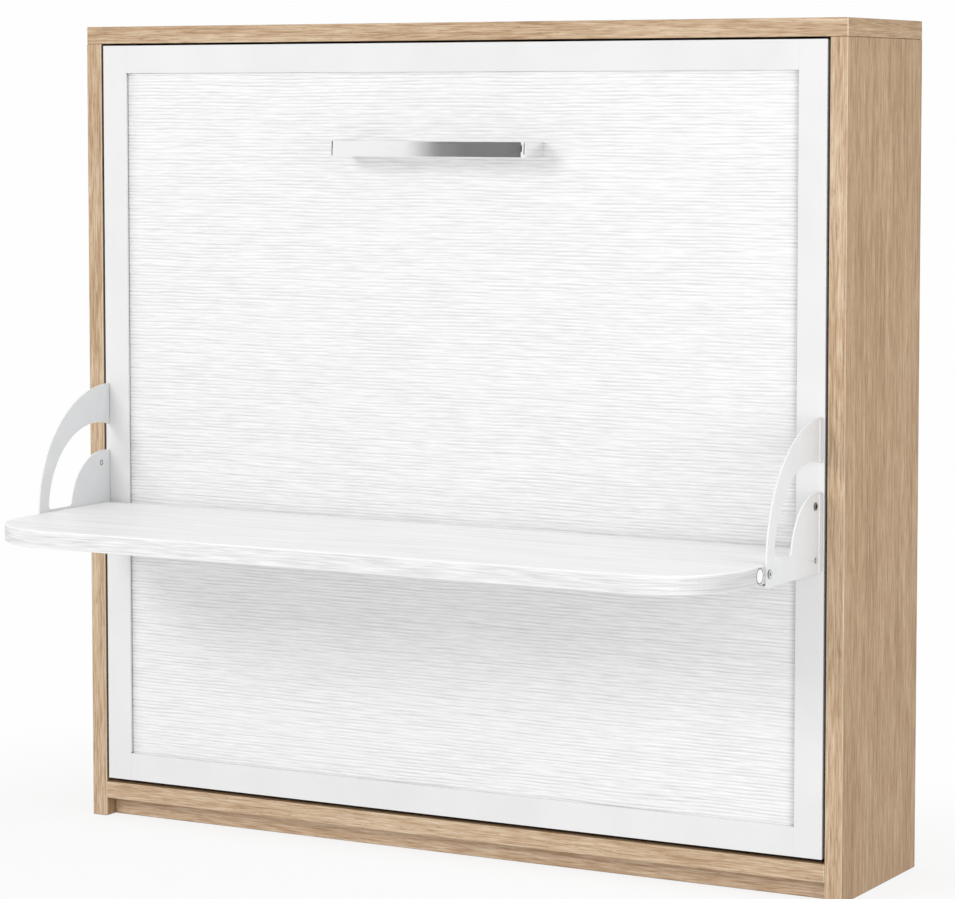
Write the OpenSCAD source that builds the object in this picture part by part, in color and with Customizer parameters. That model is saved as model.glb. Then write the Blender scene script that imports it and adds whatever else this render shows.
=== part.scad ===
// Wall bed that tilts sideways out of an oak cabinet, with a desk that folds against its door.
// X runs along the bed, Y towards the wall and Z up. The origin is on the floor, under the middle
// of the space taken by the closed bed with its desk down. Lengths are in millimetres.

/* [Cabinet] */
// Width over the side panels
cab_w = 2040; // [1960:10:2300]
// Height from the floor to the top face
cab_h = 1980; // [1900:10:2300]
// Depth of the side panels and the top
cab_d = 440; // [400:5:520]
// Thickness of the sides, the top and the bottom board
board_t = 42; // [30:1:50]
// Height of the plinth under the bottom board
plinth_h = 46; // [40:1:60]
// How far the plinth stands back from the cabinet's front
plinth_back = 38; // [20:1:60]
// Thickness of the plinth boards and the wall rail
rail_t = 18; // [15:1:22]
// Thickness of the two back panels
back_t = 8; // [5:1:10]
// Slit between the two back panels
back_slit = 3; // [2:0.5:4]
// Height of the rail that is bolted to the wall
wall_rail_h = 100; // [80:5:140]
// Distance between the wall bolts along the rail
wall_bolt_x = 1600; // [1200:10:1700]
// Distance between the wall bolts in height
wall_bolt_z = 60; // [40:5:70]
// Radius of the wall bolt holes
wall_bolt_r = 4.5; // [3:0.5:6]
// Radius of the wooden dowels
dowel_r = 4; // [3:0.5:5]
// Length of the wooden dowels
dowel_l = 36; // [30:1:40]

/* [Door] */
// Gap beside the door
side_gap = 7; // [5:0.5:9]
// Gap over the door
top_gap = 5; // [3:0.5:12]
// Gap under the door
bottom_gap = 10; // [8:0.5:16]
// Thickness of the door's frame
door_t = 22; // [18:1:25]
// Width of the frame's stiles and rails
member_w = 68; // [55:1:90]
// Thickness of the embossed panel
panel_t = 10; // [8:0.5:12]
// How far the panel stands back from the frame's face
panel_back = 7; // [4:0.5:8]
// How far the panel reaches into the frame's rebate
rebate_w = 9; // [6:0.5:12]

/* [Handle] */
// Length over the handle's legs
handle_l = 522; // [300:2:700]
// Height of the handle's flat bar
handle_h = 36; // [25:1:45]
// Thickness of the bar
handle_t = 9; // [8:0.5:12]
// How far the handle stands out from the door's face
handle_out = 88; // [60:1:110]
// Distance of the handle's middle below the door's top edge
handle_down = 248; // [200:1:400]
// Outer radius of the bar's bends
handle_r = 10; // [10:1:20]

/* [Desk] */
// Height of the desk's top face
desk_z = 799; // [760:1:840]
// Thickness of the desk top
desk_t = 42; // [30:1:44]
// How far the desk's front edge stands out from the door's face
desk_out = 570; // [545:5:640]
// Gap between the desk and the door's face
desk_gap = 10; // [9.5:0.5:14]
// Radius of the desk's front corners
desk_r = 200; // [60:5:220]
// Radius of the eased edges
ease_r = 4; // [2:0.5:5]
// Distance of the fold pins from the door's face
fold_out = 32; // [32:0.5:38]

/* [Brackets] */
// Thickness of the bracket plates
plate_t = 4; // [3:0.5:5]
// Distance of the plates from the door's edges
plate_inset = 6; // [4:0.5:8]
// How far the brackets stand out from the door's face
plate_out = 296; // [280:1:320]
// Depth of the plate under the desk's lower face
plate_drop = 9; // [8:0.5:14]
// Height of the strip under the window, over the desk's top face
strip_up = 5; // [3:1:16]
// Radius of the window's outer arc
window_r = 200; // [180:1:210]
// Radius of the round lobe that carries the fold pin
lobe_r = 141; // [120:1:150]
// Running gap between the desk's ends and the plates
end_gap = 0.5; // [0.3:0.1:1]
// Radius of the fold pins
fold_pin_r = 4; // [3:0.5:5]
// Radius of the latch pins
latch_r = 5; // [4:0.5:6]
// Distance of the latch pins from the door's face
latch_out = 283; // [260:1:286]
// Distance of the release buttons from the door's face
button_out = 323; // [315:1:345]
// Radius of the button housings
housing_r = 18; // [14:0.5:18]
// Travel of the release buttons
button_travel = 4; // [3:0.5:5]

/* [Tilting] */
// Distance of the tilting pivots behind the door's face
pivot_in = 50; // [46:1:56]
// Radius of the pivot pins
pivot_r = 10; // [8:0.5:12]
// Running clearance of pins in their bushes
run_fit = 0.05; // [0.02:0.01:0.1]
// Reach of the levers that push the gas struts, along Y and Z
lever_reach = 141; // [110:1:150]
// Height of the strut's upper stud over the pivot
strut_up = 722; // [680:2:900]
// How far the upper stud stands behind the lever's end
strut_lean = 59; // [40:1:80]
// Radius of the strut's cylinder
strut_r = 10; // [8:0.5:10]
// Radius of the strut's rod
rod_r = 4; // [3:0.5:5]

/* [Bed] */
// Room between each end of the mattress and the cabinet's side
mattress_end_room = 28; // [20:1:60]
// Room between the mattress and the cabinet's top
mattress_top_room = 168; // [150:2:220]
// Thickness of the mattress
mattress_t = 180; // [140:5:200]
// Height of the mattress's lower side over the pivot, below when negative
mattress_low = -178; // [-190:1:-150]
// Depth of the frame's steel tubes
tube_d = 50; // [50:1:60]
// Width of the frame's steel tubes
tube_w = 25; // [20:1:25]
// Wall of the steel tubes
tube_wall = 2; // [1.5:0.5:3]
// Number of slats in each of the two rows
slat_n = 14; // [10:1:15]
// Width of a slat
slat_w = 70; // [50:1:80]
// Thickness of a slat
slat_t = 12; // [8:0.5:14]
// Width of the mattress straps
strap_w = 40; // [25:1:45]

/* [Hidden] */
$fn = 64;
touch = 0.3;                                  // gap between a soft or stopping piece and its seat
overcut = 1;                                  // how far a cut runs past a face
front_y = (desk_out - cab_d) / 2;             // the cabinet's front plane
in_half = cab_w / 2 - board_t;
roof_z = cab_h - board_t;
deck_z = plinth_h + board_t;
back_y = cab_d - back_t;

door_half = in_half - side_gap;
door_low = deck_z + bottom_gap;
door_top = roof_z - top_gap;
open_half = door_half - member_w;             // half the width of the door's panel opening
handle_z = door_top - handle_down;

plate_half = door_half - plate_inset;         // outer face of a bracket plate
plate_in = plate_half - plate_t;              // its inner face
desk_half = plate_in - end_gap;
desk_low = desk_z - desk_t;
plate_low = desk_low - plate_drop;
fold_z = desk_z - desk_t / 2;
arc_z = desk_z;                               // height of the brackets' arc centres
plate_top = arc_z + plate_out;
window_out = 57.5;                            // centre of the window's arc, from the door's face
window_z = desk_z + 2;                        // and its height
lobe_out = 24;                                // centre of the lobe's arc
lobe_z = desk_z - 10;
tab_in = 62;                                  // how far the plates' tabs reach behind the face
tab_bolt_in = 44;                             // how far their bolts lie behind it
tab_bolt_z = 18;                              // distance of a bolt from its tab's middle
tab_h = 60;
tab_up = 57;                                  // the lower tab's middle over the fold pin
tab_down = 50;                                // the upper tab's middle below the plate's top
tabs = [fold_z + tab_up, plate_top - tab_down];
slot_fit = 0.3;
shoe_d = 14;                                  // folded strip where a plate meets the door
shoe_t = 2;
shoe_end = 4;                                 // how far the strip stays below the plate's top
shoe_over = 20;                               // how far it runs past the upper tab
plunger_out = 36;
plunger_up = 121;                             // height of the ball plunger over the fold pin
plunger_z = fold_z + plunger_up;
ledge_w = 22;                                 // shelf that the desk rests on, folded from the plate
ledge_from = fold_out + 38;
ledge_to = plate_out - 11;
pad_h = plate_drop - plate_t - touch;

pivot_z = plate_out + 2 + pivot_in;           // the open bed stands on its brackets
tube_out = in_half - 25;                      // outer face of the bed's side tubes
frame_low = door_low + 14;
frame_top = door_top - 11;
frame_y = door_t + tube_d;                    // rear face of the bed's tubes
mattress_z = pivot_z + mattress_low;
mattress_l = 2 * (in_half - mattress_end_room);
mattress_w = roof_z - mattress_top_room - mattress_z;
rail_low = mattress_z - tube_w;
rail_high = mattress_z + mattress_w;
beam_z = (rail_low + rail_high) / 2;
slat_pitch = (mattress_l - 2 * 79) / (slat_n - 1);
slat_y = frame_y + slat_t;
mattress_r = 30;                              // radius of the mattress's edges
mattress_corner = 60;                         // radius of its corners, seen on its face
pocket = 10;                                  // how deep a slat's end sits in its holder
clip_z = 31;                                  // length of the clip between two slats
strap_x = 4 * slat_pitch;
strap_t = 2;
strap_gap = 0.5;

lever_t = 4;
lever_y = pivot_in + lever_reach;
lever_z = pivot_z - lever_reach;
stud_y = lever_y + strut_lean;
stud_z = pivot_z + strut_up;
strut_x = tube_out + 12.5;                    // middle plane of a gas strut
eye_t = 9;
eye_r = 11;
stud_r = 5;
eye_neck = 22;                                // from an eye's centre to the cylinder or rod cap
strut_long = norm([strut_lean, strut_up + lever_reach]);
strut_short = norm([strut_lean, strut_up - lever_reach]);
strut_angle = asin(strut_lean / strut_long);
stroke = strut_long - strut_short;
rest_rod = 20;                                // rod left outside when the strut is pushed in
cylinder_l = strut_short - 2 * eye_neck - rest_rod;
rod_hidden = 150;
plate_bore = 14;                              // radius of the pivot bushes

// ---- helpers -------------------------------------------------------------------------------

// Puts a piece that is drawn from the cabinet's front plane into the object's frame.
module place() {
  translate([0, front_y, 0]) children();
}

// Draws a right-hand piece on side 1 and its mirror image on side -1.
module side(s) {
  place() mirror([s < 0 ? 1 : 0, 0, 0]) children();
}

module both() {
  side(1) children();
  side(-1) children();
}

// A box from its lowest to its highest corner.
module block(lo, hi) {
  translate(lo) cube(hi - lo);
}

// A round bar along X, Y or Z.
module bar_x(x0, x1, y, z, r, sides = 64) {
  translate([x0, y, z]) rotate([0, 90, 0]) cylinder(h = x1 - x0, r = r, $fn = sides);
}

module bar_y(x, y0, y1, z, r, sides = 64) {
  translate([x, y0, z]) rotate([-90, 0, 0]) cylinder(h = y1 - y0, r = r, $fn = sides);
}

module bar_z(x, y, z0, z1, r, sides = 64) {
  translate([x, y, z0]) cylinder(h = z1 - z0, r = r, $fn = sides);
}

// A flat rectangle with round corners, centred.
module round_rect(w, h, r) {
  square([w - 2 * r, h], center = true);
  square([w, h - 2 * r], center = true);
  for (x = [-1, 1], y = [-1, 1]) translate([x * (w / 2 - r), y * (h / 2 - r)]) circle(r);
}

// Points of an arc around (x, y) from angle a0 to a1.
function arc(x, y, r, a0, a1, steps) =
  [for (i = [0:steps]) let (a = a0 + (a1 - a0) * i / steps) [x + r * cos(a), y + r * sin(a)]];

// The same rectangle as a single outline, for slabs with eased edges.
module rect_plan(w, h, r, steps) {
  x = w / 2 - r;
  y = h / 2 - r;
  polygon(concat(arc(x, -y, r, -90, 0, steps), arc(x, y, r, 0, 90, steps),
    arc(-x, y, r, 90, 180, steps), arc(-x, -y, r, 180, 270, steps)));
}

// A slab of thickness t whose two faces have edges eased to radius r; the outline is convex.
module eased_slab(t, r, steps = 3) {
  hull() for (i = [0:steps]) {
    a = 90 * i / steps;
    z = r * (1 - sin(a));
    translate([0, 0, z]) linear_extrude(t - 2 * z) offset(delta = -r * (1 - cos(a))) children();
  }
}

// A box-section steel tube from corner to corner, open at both ends along axis a.
module tube(lo, hi, a) {
  w = [for (i = [0:2]) i == a ? -overcut : tube_wall];
  difference() {
    block(lo, hi);
    block(lo + w, hi - w);
  }
}

// ---- cabinet -------------------------------------------------------------------------------

dowel_ys = [for (f = [0.14, 0.5, 0.86]) f * cab_d];
dowel_end = 0.45 * dowel_l;                   // part of a dowel in the top or the side
dowel_x = in_half + board_t / 2;

// One dowel of each joint, drawn longer and thicker where it stands for its hole.
module dowel_set(extra) {
  for (y = dowel_ys) {
    bar_z(dowel_x, y, roof_z - dowel_l + dowel_end - extra, roof_z + dowel_end + extra,
      dowel_r + extra / 20, 32);
    bar_x(in_half - dowel_l + dowel_end - extra, in_half + dowel_end + extra, y,
      plinth_h + board_t / 2, dowel_r + extra / 20, 32);
  }
}

pivot_plate_t = 5;
pivot_plate_back = 20;                        // how far the plate stands back from the cabinet's front
pivot_plate_w = 2 * (pivot_in - pivot_plate_back);
pivot_plate_h = 120;
strut_plate_t = 4;
strut_plate_w = 44;
strut_plate_down = 16;                        // how far it reaches below the stud
strut_plate_up = 60;                          // and above it
screw_margin = 14;                            // distance of a screw from its plate's edges
plate_screws = [for (y = [-1, 1], z = [-1, 1]) [pivot_in + y * (pivot_plate_w / 2 - screw_margin),
  pivot_z + z * (pivot_plate_h / 2 - screw_margin)]];
bracket_screws = [for (z = [strut_plate_up / 2 - 8, strut_plate_up - screw_margin])
  [stud_y, stud_z + z]];

module hardware_screw(x, at, extra) {
  head = 3;
  bar_x(x, x + head, at[0], at[1], 5.5 + extra / 10, 32);
  bar_x(x + head - extra, x + 28 + extra, at[0], at[1], 3 + extra / 20, 32);
}

module screw_set(extra) {
  for (at = plate_screws) hardware_screw(in_half - pivot_plate_t, at, extra);
  for (at = bracket_screws) hardware_screw(in_half - strut_plate_t, at, extra);
}

module side_panel(s) {
  color("#c8aa86") side(s) difference() {
    block([in_half, 0, 0], [in_half + board_t, cab_d, roof_z]);
    dowel_set(1);
    screw_set(1);
    bar_x(in_half - overcut, in_half + 20, pivot_in, pivot_z, plate_bore);
  }
}

module top_panel() {
  color("#c8aa86") difference() {
    place() block([-cab_w / 2, 0, roof_z], [cab_w / 2, cab_d, cab_h]);
    both() dowel_set(1);
  }
}

module bottom_board() {
  color("#c8aa86") difference() {
    place() block([-in_half, 0, plinth_h], [in_half, back_y, deck_z]);
    both() dowel_set(1);
  }
}

module plinth_front() {
  color("#bf9f7a") place()
    block([-in_half, plinth_back, 0], [in_half, plinth_back + rail_t, plinth_h]);
}

module plinth_rear() {
  color("#bf9f7a") place() block([-in_half, back_y - rail_t, 0], [in_half, back_y, plinth_h]);
}

module plinth_ribs() {
  for (x = [-1, 1]) color("#bf9f7a") place() translate([x * in_half / 3, 0, 0])
    block([-rail_t / 2, plinth_back + rail_t, 0], [rail_t / 2, back_y - rail_t, plinth_h]);
}

module wall_bolts(y0, y1) {
  rail_mid = roof_z - wall_rail_h / 2;
  for (x = [-1, 1], z = [-1, 1])
    bar_y(x * wall_bolt_x / 2, y0, y1, rail_mid + z * wall_bolt_z / 2, wall_bolt_r);
}

module back_panel(s) {
  color("#d8c3a5") side(s) difference() {
    block([back_slit / 2, back_y, plinth_h], [in_half, cab_d, roof_z]);
    wall_bolts(back_y - overcut, cab_d + overcut);
  }
}

module back_joint_strip() {
  lip = 12;
  lip_t = 2;
  color("#d9d3c8") place() {
    block([-lip, back_y - lip_t, deck_z], [lip, back_y, roof_z - wall_rail_h]);
    block([-back_slit / 2, back_y, deck_z], [back_slit / 2, cab_d, roof_z - wall_rail_h]);
  }
}

module wall_rail() {
  color("#bf9f7a") place() difference() {
    block([-in_half, back_y - rail_t, roof_z - wall_rail_h], [in_half, back_y, roof_z]);
    wall_bolts(back_y - rail_t - overcut, back_y + overcut);
  }
}

module dowels() {
  color("#d9b98c") both() dowel_set(0);
}

module pivot_plates() {
  color("#8f9499") both() difference() {
    block([in_half - pivot_plate_t, pivot_in - pivot_plate_w / 2, pivot_z - pivot_plate_h / 2],
      [in_half, pivot_in + pivot_plate_w / 2, pivot_z + pivot_plate_h / 2]);
    bar_x(in_half - 20, in_half + overcut, pivot_in, pivot_z, plate_bore);
    screw_set(1);
  }
}

thrust_x = tube_out + lever_t + 1;            // inner face of the pivot bush's flange

module pivot_bushes() {
  color("#b5a26a") both() difference() {
    union() {
      bar_x(thrust_x + 4, in_half + 18, pivot_in, pivot_z, plate_bore);
      bar_x(thrust_x, thrust_x + 4, pivot_in, pivot_z, plate_bore + 4);
    }
    bar_x(thrust_x - overcut, in_half + 19, pivot_in, pivot_z, pivot_r + run_fit);
  }
}

module strut_brackets() {
  color("#8f9499") both() {
    difference() {
      block([in_half - strut_plate_t, stud_y - strut_plate_w / 2, stud_z - strut_plate_down],
        [in_half, stud_y + strut_plate_w / 2, stud_z + strut_plate_up]);
      screw_set(1);
    }
    bar_x(strut_x - eye_t / 2 - 3, in_half - strut_plate_t, stud_y, stud_z, stud_r);
  }
}

stop_x = tube_out - tube_w / 2;
stop_w = 30;
stop_t = 5;                                   // thickness of the stop's angle
stop_down = 40;                               // how far it reaches below the top of the bed's frame
stop_foot = 45;                               // depth of its leg under the cabinet's top
buffer_r = 10;
buffer_t = 4;
buffer_up = 16;                               // height of the buffer's middle over the stop's lower end

module closing_stops() {
  y0 = frame_y + touch + buffer_t;
  color("#8f9499") both() {
    block([stop_x - stop_w / 2, y0, frame_top - stop_down], [stop_x + stop_w / 2, y0 + stop_t, roof_z]);
    block([stop_x - stop_w / 2, y0 + stop_t, roof_z - stop_t],
      [stop_x + stop_w / 2, y0 + stop_foot, roof_z]);
  }
}

module closing_buffers() {
  y0 = frame_y + touch;
  color("#303234") both()
    bar_y(stop_x, y0, y0 + buffer_t, frame_top - stop_down + buffer_up, buffer_r);
}

module hardware_screws() {
  color("#c9ccd0") both() screw_set(0);
}

// ---- door ----------------------------------------------------------------------------------

module door_screw_set(extra) {
  x = tube_out - tube_w / 2;
  end = 40;                                   // distance of the outer screws from the tube's ends
  spaces = 4;
  for (i = [0:spaces]) {
    z = frame_low + end + i * (frame_top - frame_low - 2 * end) / spaces;
    bar_y(x, 12 - extra, frame_y + extra, z, 2.5 + extra / 20, 32);
    bar_y(x, frame_y, frame_y + 3, z, 5, 32);
  }
}

// Slots that the brackets' tabs pass through.
module tab_slots() {
  for (z = tabs) block([plate_in - slot_fit, -overcut, z - tab_h / 2 - slot_fit],
    [plate_half + slot_fit, door_t + overcut, z + tab_h / 2 + slot_fit]);
}

module panel_space() {
  block([-open_half - rebate_w, panel_back, door_low + member_w - rebate_w],
    [open_half + rebate_w, door_t + overcut, door_top - member_w + rebate_w]);
}

module door_stile(s) {
  color("#f4f4f3") side(s) difference() {
    block([open_half, 0, door_low], [door_half, door_t, door_top]);
    panel_space();
    tab_slots();
    door_screw_set(1);
  }
}

module door_rail(z0) {
  color("#f4f4f3") place() difference() {
    block([-open_half, 0, z0], [open_half, door_t, z0 + member_w]);
    panel_space();
  }
}

module handle_holes(y0, y1, r) {
  for (x = [-1, 1], z = [-1, 1])
    bar_y(x * (handle_l - handle_t) / 2, y0, y1, handle_z + z * handle_h / 4, r, 32);
}

module door_panel() {
  z0 = door_low + member_w - rebate_w;
  z1 = door_top - member_w + rebate_w;
  w = open_half + rebate_w;
  color("#fbfbfa") place() difference() {
    block([-w, panel_back, z0], [w, panel_back + panel_t, z1]);
    handle_holes(panel_back - overcut, panel_back + panel_t + overcut, 2);
  }
}

module handle() {
  reach = handle_out + panel_back;
  inner_r = max(handle_r - handle_t, 1);
  color("#c4c7ca") place() difference() {
    translate([0, panel_back, handle_z - handle_h / 2]) linear_extrude(handle_h) difference() {
      intersection() {
        round_rect(handle_l, 2 * reach, handle_r);
        translate([-handle_l / 2, -reach]) square([handle_l, reach]);
      }
      round_rect(handle_l - 2 * handle_t, 2 * (reach - handle_t), inner_r);
    }
    handle_holes(panel_back - 12, panel_back + overcut, 2);
  }
}

module handle_screws() {
  color("#c9ccd0") place() {
    handle_holes(panel_back - 11, panel_back + panel_t, 1.95);
    handle_holes(panel_back + panel_t, panel_back + panel_t + 3, 4);
  }
}

// ---- bed frame -----------------------------------------------------------------------------

// Bolts that hold the brackets' tabs, spaced off the side tubes.
module tab_bolt_holes(x0, x1, r) {
  for (z = tabs, dz = [-tab_bolt_z, tab_bolt_z]) bar_x(x0, x1, tab_bolt_in, z + dz, r, 32);
}

module bed_side(s) {
  color("#dfe1e3") side(s) difference() {
    tube([tube_out - tube_w, door_t, frame_low], [tube_out, frame_y, frame_top], 2);
    door_screw_set(1);
    tab_bolt_holes(tube_out - 5, tube_out + overcut, 4.05);
  }
}

module bed_rail(z0) {
  w = tube_out - tube_w;
  color("#dfe1e3") place() tube([-w, door_t, z0], [w, frame_y, z0 + tube_w], 0);
}

module slats() {
  for (i = [0:slat_n - 1]) {
    x = (i - (slat_n - 1) / 2) * slat_pitch;
    color("#e3c79c") place() translate([x, 0, 0]) {
      block([-slat_w / 2, frame_y, rail_low + pocket],
        [slat_w / 2, slat_y, beam_z + (tube_w - clip_z) / 2]);
      block([-slat_w / 2, frame_y, beam_z + (tube_w + clip_z) / 2],
        [slat_w / 2, slat_y, rail_high + tube_w - pocket]);
    }
  }
}

// A cup over a slat's end, closed at its outer side.
module slat_holder() {
  wall = 3;
  deep = pocket + 16;
  difference() {
    block([-slat_w / 2 - wall, frame_y, rail_low], [slat_w / 2 + wall, slat_y, rail_low + deep]);
    block([-slat_w / 2, frame_y - overcut, rail_low + pocket],
      [slat_w / 2, slat_y + overcut, rail_low + deep + overcut]);
  }
}

module slat_holders() {
  mid = (rail_low + rail_high + tube_w) / 2;
  for (i = [0:slat_n - 1]) {
    x = (i - (slat_n - 1) / 2) * slat_pitch;
    color("#4a4c4f") place() translate([x, 0, 0]) {
      slat_holder();
      translate([0, 0, 2 * mid]) mirror([0, 0, 1]) slat_holder();
      block([-slat_w / 2, frame_y, mid - clip_z / 2], [slat_w / 2, slat_y, mid + clip_z / 2]);
    }
  }
}

module mattress() {
  color("#f2efe8") place()
    translate([0, slat_y + touch, mattress_z + mattress_w / 2]) rotate([-90, 0, 0])
      eased_slab(mattress_t - touch, mattress_r, 4)
      rect_plan(mattress_l, mattress_w, mattress_corner, 8);
}

// The mattress's outline seen from the side, grown by g.
module strap_outline(g) {
  translate([slat_y + mattress_t / 2, mattress_z + mattress_w / 2])
    round_rect(mattress_t + 2 * g, mattress_w + 2 * g, mattress_r + g);
}

module mattress_strap(s) {
  color("#3c3f44") side(s) translate([strap_x - strap_w / 2, 0, 0])
    rotate([90, 0, 90]) linear_extrude(strap_w) intersection() {
      difference() {
        union() {
          strap_outline(strap_gap + strap_t);
          translate([frame_y, mattress_z - strap_gap - strap_t])
            square([mattress_t / 2, mattress_w + 2 * (strap_gap + strap_t)]);
        }
        strap_outline(strap_gap);
        translate([frame_y - overcut, mattress_z - strap_gap])
          square([mattress_t / 2, mattress_w + 2 * strap_gap]);
      }
      translate([frame_y, 0]) square([cab_d, cab_h]);
    }
}

module door_screws() {
  color("#c9ccd0") both() door_screw_set(0);
}

// ---- desk brackets -------------------------------------------------------------------------

// Outline of a bracket plate: X is the distance out from the door, Y the height.
module quadrant_outline() {
  intersection() {
    translate([0, arc_z]) circle(plate_out, $fn = 192);
    translate([0, arc_z]) square(plate_out + overcut);
  }
  translate([0, plate_low]) square([plate_out, arc_z - plate_low]);
}

// The open window, rounded at its lower corners, and open towards the door.
module quadrant_window() {
  corner = 10;
  floor_z = desk_z + strip_up;
  offset(r = corner, $fn = 48) offset(delta = -corner) difference() {
    intersection() {
      translate([window_out, window_z]) circle(window_r, $fn = 128);
      translate([-4 * corner, floor_z]) square(2 * window_r);
    }
    translate([lobe_out, lobe_z]) circle(lobe_r, $fn = 96);
    translate([-window_r, floor_z - overcut])
      square([window_r, lobe_z + lobe_r - floor_z]);
  }
}

// Turns an outline drawn as (out, height) into a plate between two X planes.
module upright(x0, x1) {
  translate([x1, 0, 0]) rotate([90, 0, -90]) linear_extrude(x1 - x0) children();
}

module tab_outline() {
  for (z = tabs) translate([-tab_in, z - tab_h / 2]) square([tab_in, tab_h]);
}

module shoe_outline() {
  translate([0, plate_low]) square([shoe_d, lobe_z + lobe_r - plate_low - 8]);
  upper = tabs[1] - tab_h / 2 - shoe_over;
  translate([0, upper]) square([shoe_d, plate_top - shoe_end - upper]);
}

module ledge() {
  block([plate_in - ledge_w, -ledge_to, plate_low], [plate_in, -ledge_from, plate_low + plate_t]);
}

module quadrant(s) {
  color("#eef0f0") side(s) difference() {
    union() {
      upright(plate_in, plate_half) quadrant_outline();
      upright(plate_in, plate_half) tab_outline();
      upright(plate_half, plate_half + shoe_t) shoe_outline();
      ledge();
    }
    upright(plate_in - overcut, plate_half + shoe_t + overcut) quadrant_window();
    bar_x(plate_in - overcut, plate_half + overcut, -fold_out, fold_z, fold_pin_r);
    bar_x(plate_in - overcut, plate_half + overcut, -latch_out, fold_z, latch_r + 2);
    bar_x(plate_in - overcut, plate_half + overcut, -plunger_out, plunger_z, 7);
    tab_bolt_holes(plate_in - overcut, plate_half + overcut, 4.05);
  }
}

module bracket_bolts() {
  color("#c9ccd0") both() {
    tab_bolt_holes(tube_out - 6, plate_half, 4);
    for (z = tabs, dz = [-tab_bolt_z, tab_bolt_z])
      translate([plate_half, tab_bolt_in, z + dz]) rotate([0, 90, 0]) cylinder(h = 5, r = 7, $fn = 6);
  }
}

module bracket_spacers() {
  color("#9a9ea2") both() difference() {
    tab_bolt_holes(tube_out, plate_in, 8);
    tab_bolt_holes(tube_out - overcut, plate_in + overcut, 4.05);
  }
}

module desk_rest_pads() {
  color("#5a5d60") both() for (out = [ledge_from + 20, ledge_to - 20])
    bar_z(plate_in - ledge_w / 2, -out, plate_low + plate_t, plate_low + plate_t + pad_h, 8);
}

module catch_keepers() {
  color("#b9bdc1") both() difference() {
    union() {
      bar_x(plate_in, plate_half, -latch_out, fold_z, latch_r + 2);
      bar_x(plate_half, plate_half + 2.5, -latch_out, fold_z, latch_r + 4.5);
    }
    bar_x(plate_in - overcut, plate_half + 3.5, -latch_out, fold_z, latch_r + 0.1);
  }
}

module ball_plungers() {
  color("#6d7175") both() difference() {
    union() {
      bar_x(plate_in, plate_half, -plunger_out, plunger_z, 7);
      bar_x(plate_half, plate_half + 2.5, -plunger_out, plunger_z, 9);
    }
    translate([plate_half + 0.5, -plunger_out, plunger_z]) rotate([0, 90, 0])
      cylinder(h = 3, r = 4, $fn = 6);
  }
}

module fold_pins() {
  color("#a8acb0") both() {
    bar_x(desk_half - 32, plate_half, -fold_out, fold_z, fold_pin_r);
    bar_x(plate_half, plate_half + 2.5, -fold_out, fold_z, fold_pin_r + 2);
  }
}

// ---- tilting gear on the bed ---------------------------------------------------------------

module pivot_pin(s) {
  color("#8d9297") side(s) {
    bar_x(tube_out + lever_t, in_half + 16, pivot_in, pivot_z, pivot_r);
    bar_x(tube_out + lever_t, thrust_x - 0.3, pivot_in, pivot_z, plate_bore + 4);
  }
}

module strut_lever(s) {
  root_y = door_t + 6;                        // front edge of the plate, on the bed's side tube
  root_down = 44;
  root_up = 70;
  tip = [12, 10];                             // half the plate's width and height at its end
  color("#7f858a") side(s) {
    translate([tube_out, 0, 0]) rotate([90, 0, 90]) linear_extrude(lever_t)
      polygon([[root_y, pivot_z - root_down], [lever_y - tip[0], lever_z - tip[1]],
        [lever_y + tip[0], lever_z - tip[1]], [lever_y + tip[0], lever_z + tip[1]],
        [frame_y, pivot_z + root_up], [root_y, pivot_z + root_up]]);
    bar_x(tube_out + lever_t, strut_x - eye_t / 2 - touch, lever_y, lever_z, stud_r);
  }
}

// ---- desk ----------------------------------------------------------------------------------

desk_deep = desk_out - desk_gap;

// The desk's plan, X along it and Y away from the door.
module desk_plan() {
  tail = ease_r + 1;
  front = desk_deep - desk_r;
  polygon(concat(
    arc(desk_half - tail, tail, tail, -90, 0, 6),
    arc(desk_half - desk_r, front, desk_r, 0, 90, 24),
    arc(desk_r - desk_half, front, desk_r, 90, 180, 24),
    arc(tail - desk_half, tail, tail, 180, 270, 6)));
}

slide_x = desk_half - 25;                     // inner face of the latch slide's plate
pocket_x = slide_x - button_travel - 7;       // inner end of the routed latch pocket
housing_x = pocket_x - 9;

module desk_top() {
  color("#f7f7f6") difference() {
    place() translate([0, -desk_gap, desk_low]) rotate([0, 0, 180]) eased_slab(desk_t, ease_r)
      desk_plan();
    both() {
      bar_x(desk_half - 40, desk_half + overcut, -fold_out, fold_z, fold_pin_r + 3);
      bar_x(housing_x, desk_half + overcut, -button_out, fold_z, housing_r);
      bar_x(pocket_x, desk_half + overcut, -latch_out, fold_z, latch_r + 0.1);
      block([pocket_x, -button_out, fold_z - 10], [desk_half - 12, -latch_out + 9, fold_z + 10]);
    }
  }
}

module fold_bushes() {
  color("#d8d3c0") both() difference() {
    bar_x(desk_half - 40, desk_half, -fold_out, fold_z, fold_pin_r + 3);
    bar_x(desk_half - 36, desk_half + overcut, -fold_out, fold_z, fold_pin_r + run_fit);
  }
}

button_r = housing_r - 2.8;

module latch_housings() {
  color("#c3c6c9") both() difference() {
    bar_x(housing_x, desk_half, -button_out, fold_z, housing_r);
    bar_x(housing_x + 2, desk_half + overcut, -button_out, fold_z, button_r + 0.3);
    block([pocket_x, -button_out, fold_z - 10], [desk_half - 12, -latch_out, fold_z + 10]);
  }
}

// A closed coil spring along X, as one unbroken wire.
spring_turns = 4;
spring_r = 7;
wire_r = 0.7;

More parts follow.
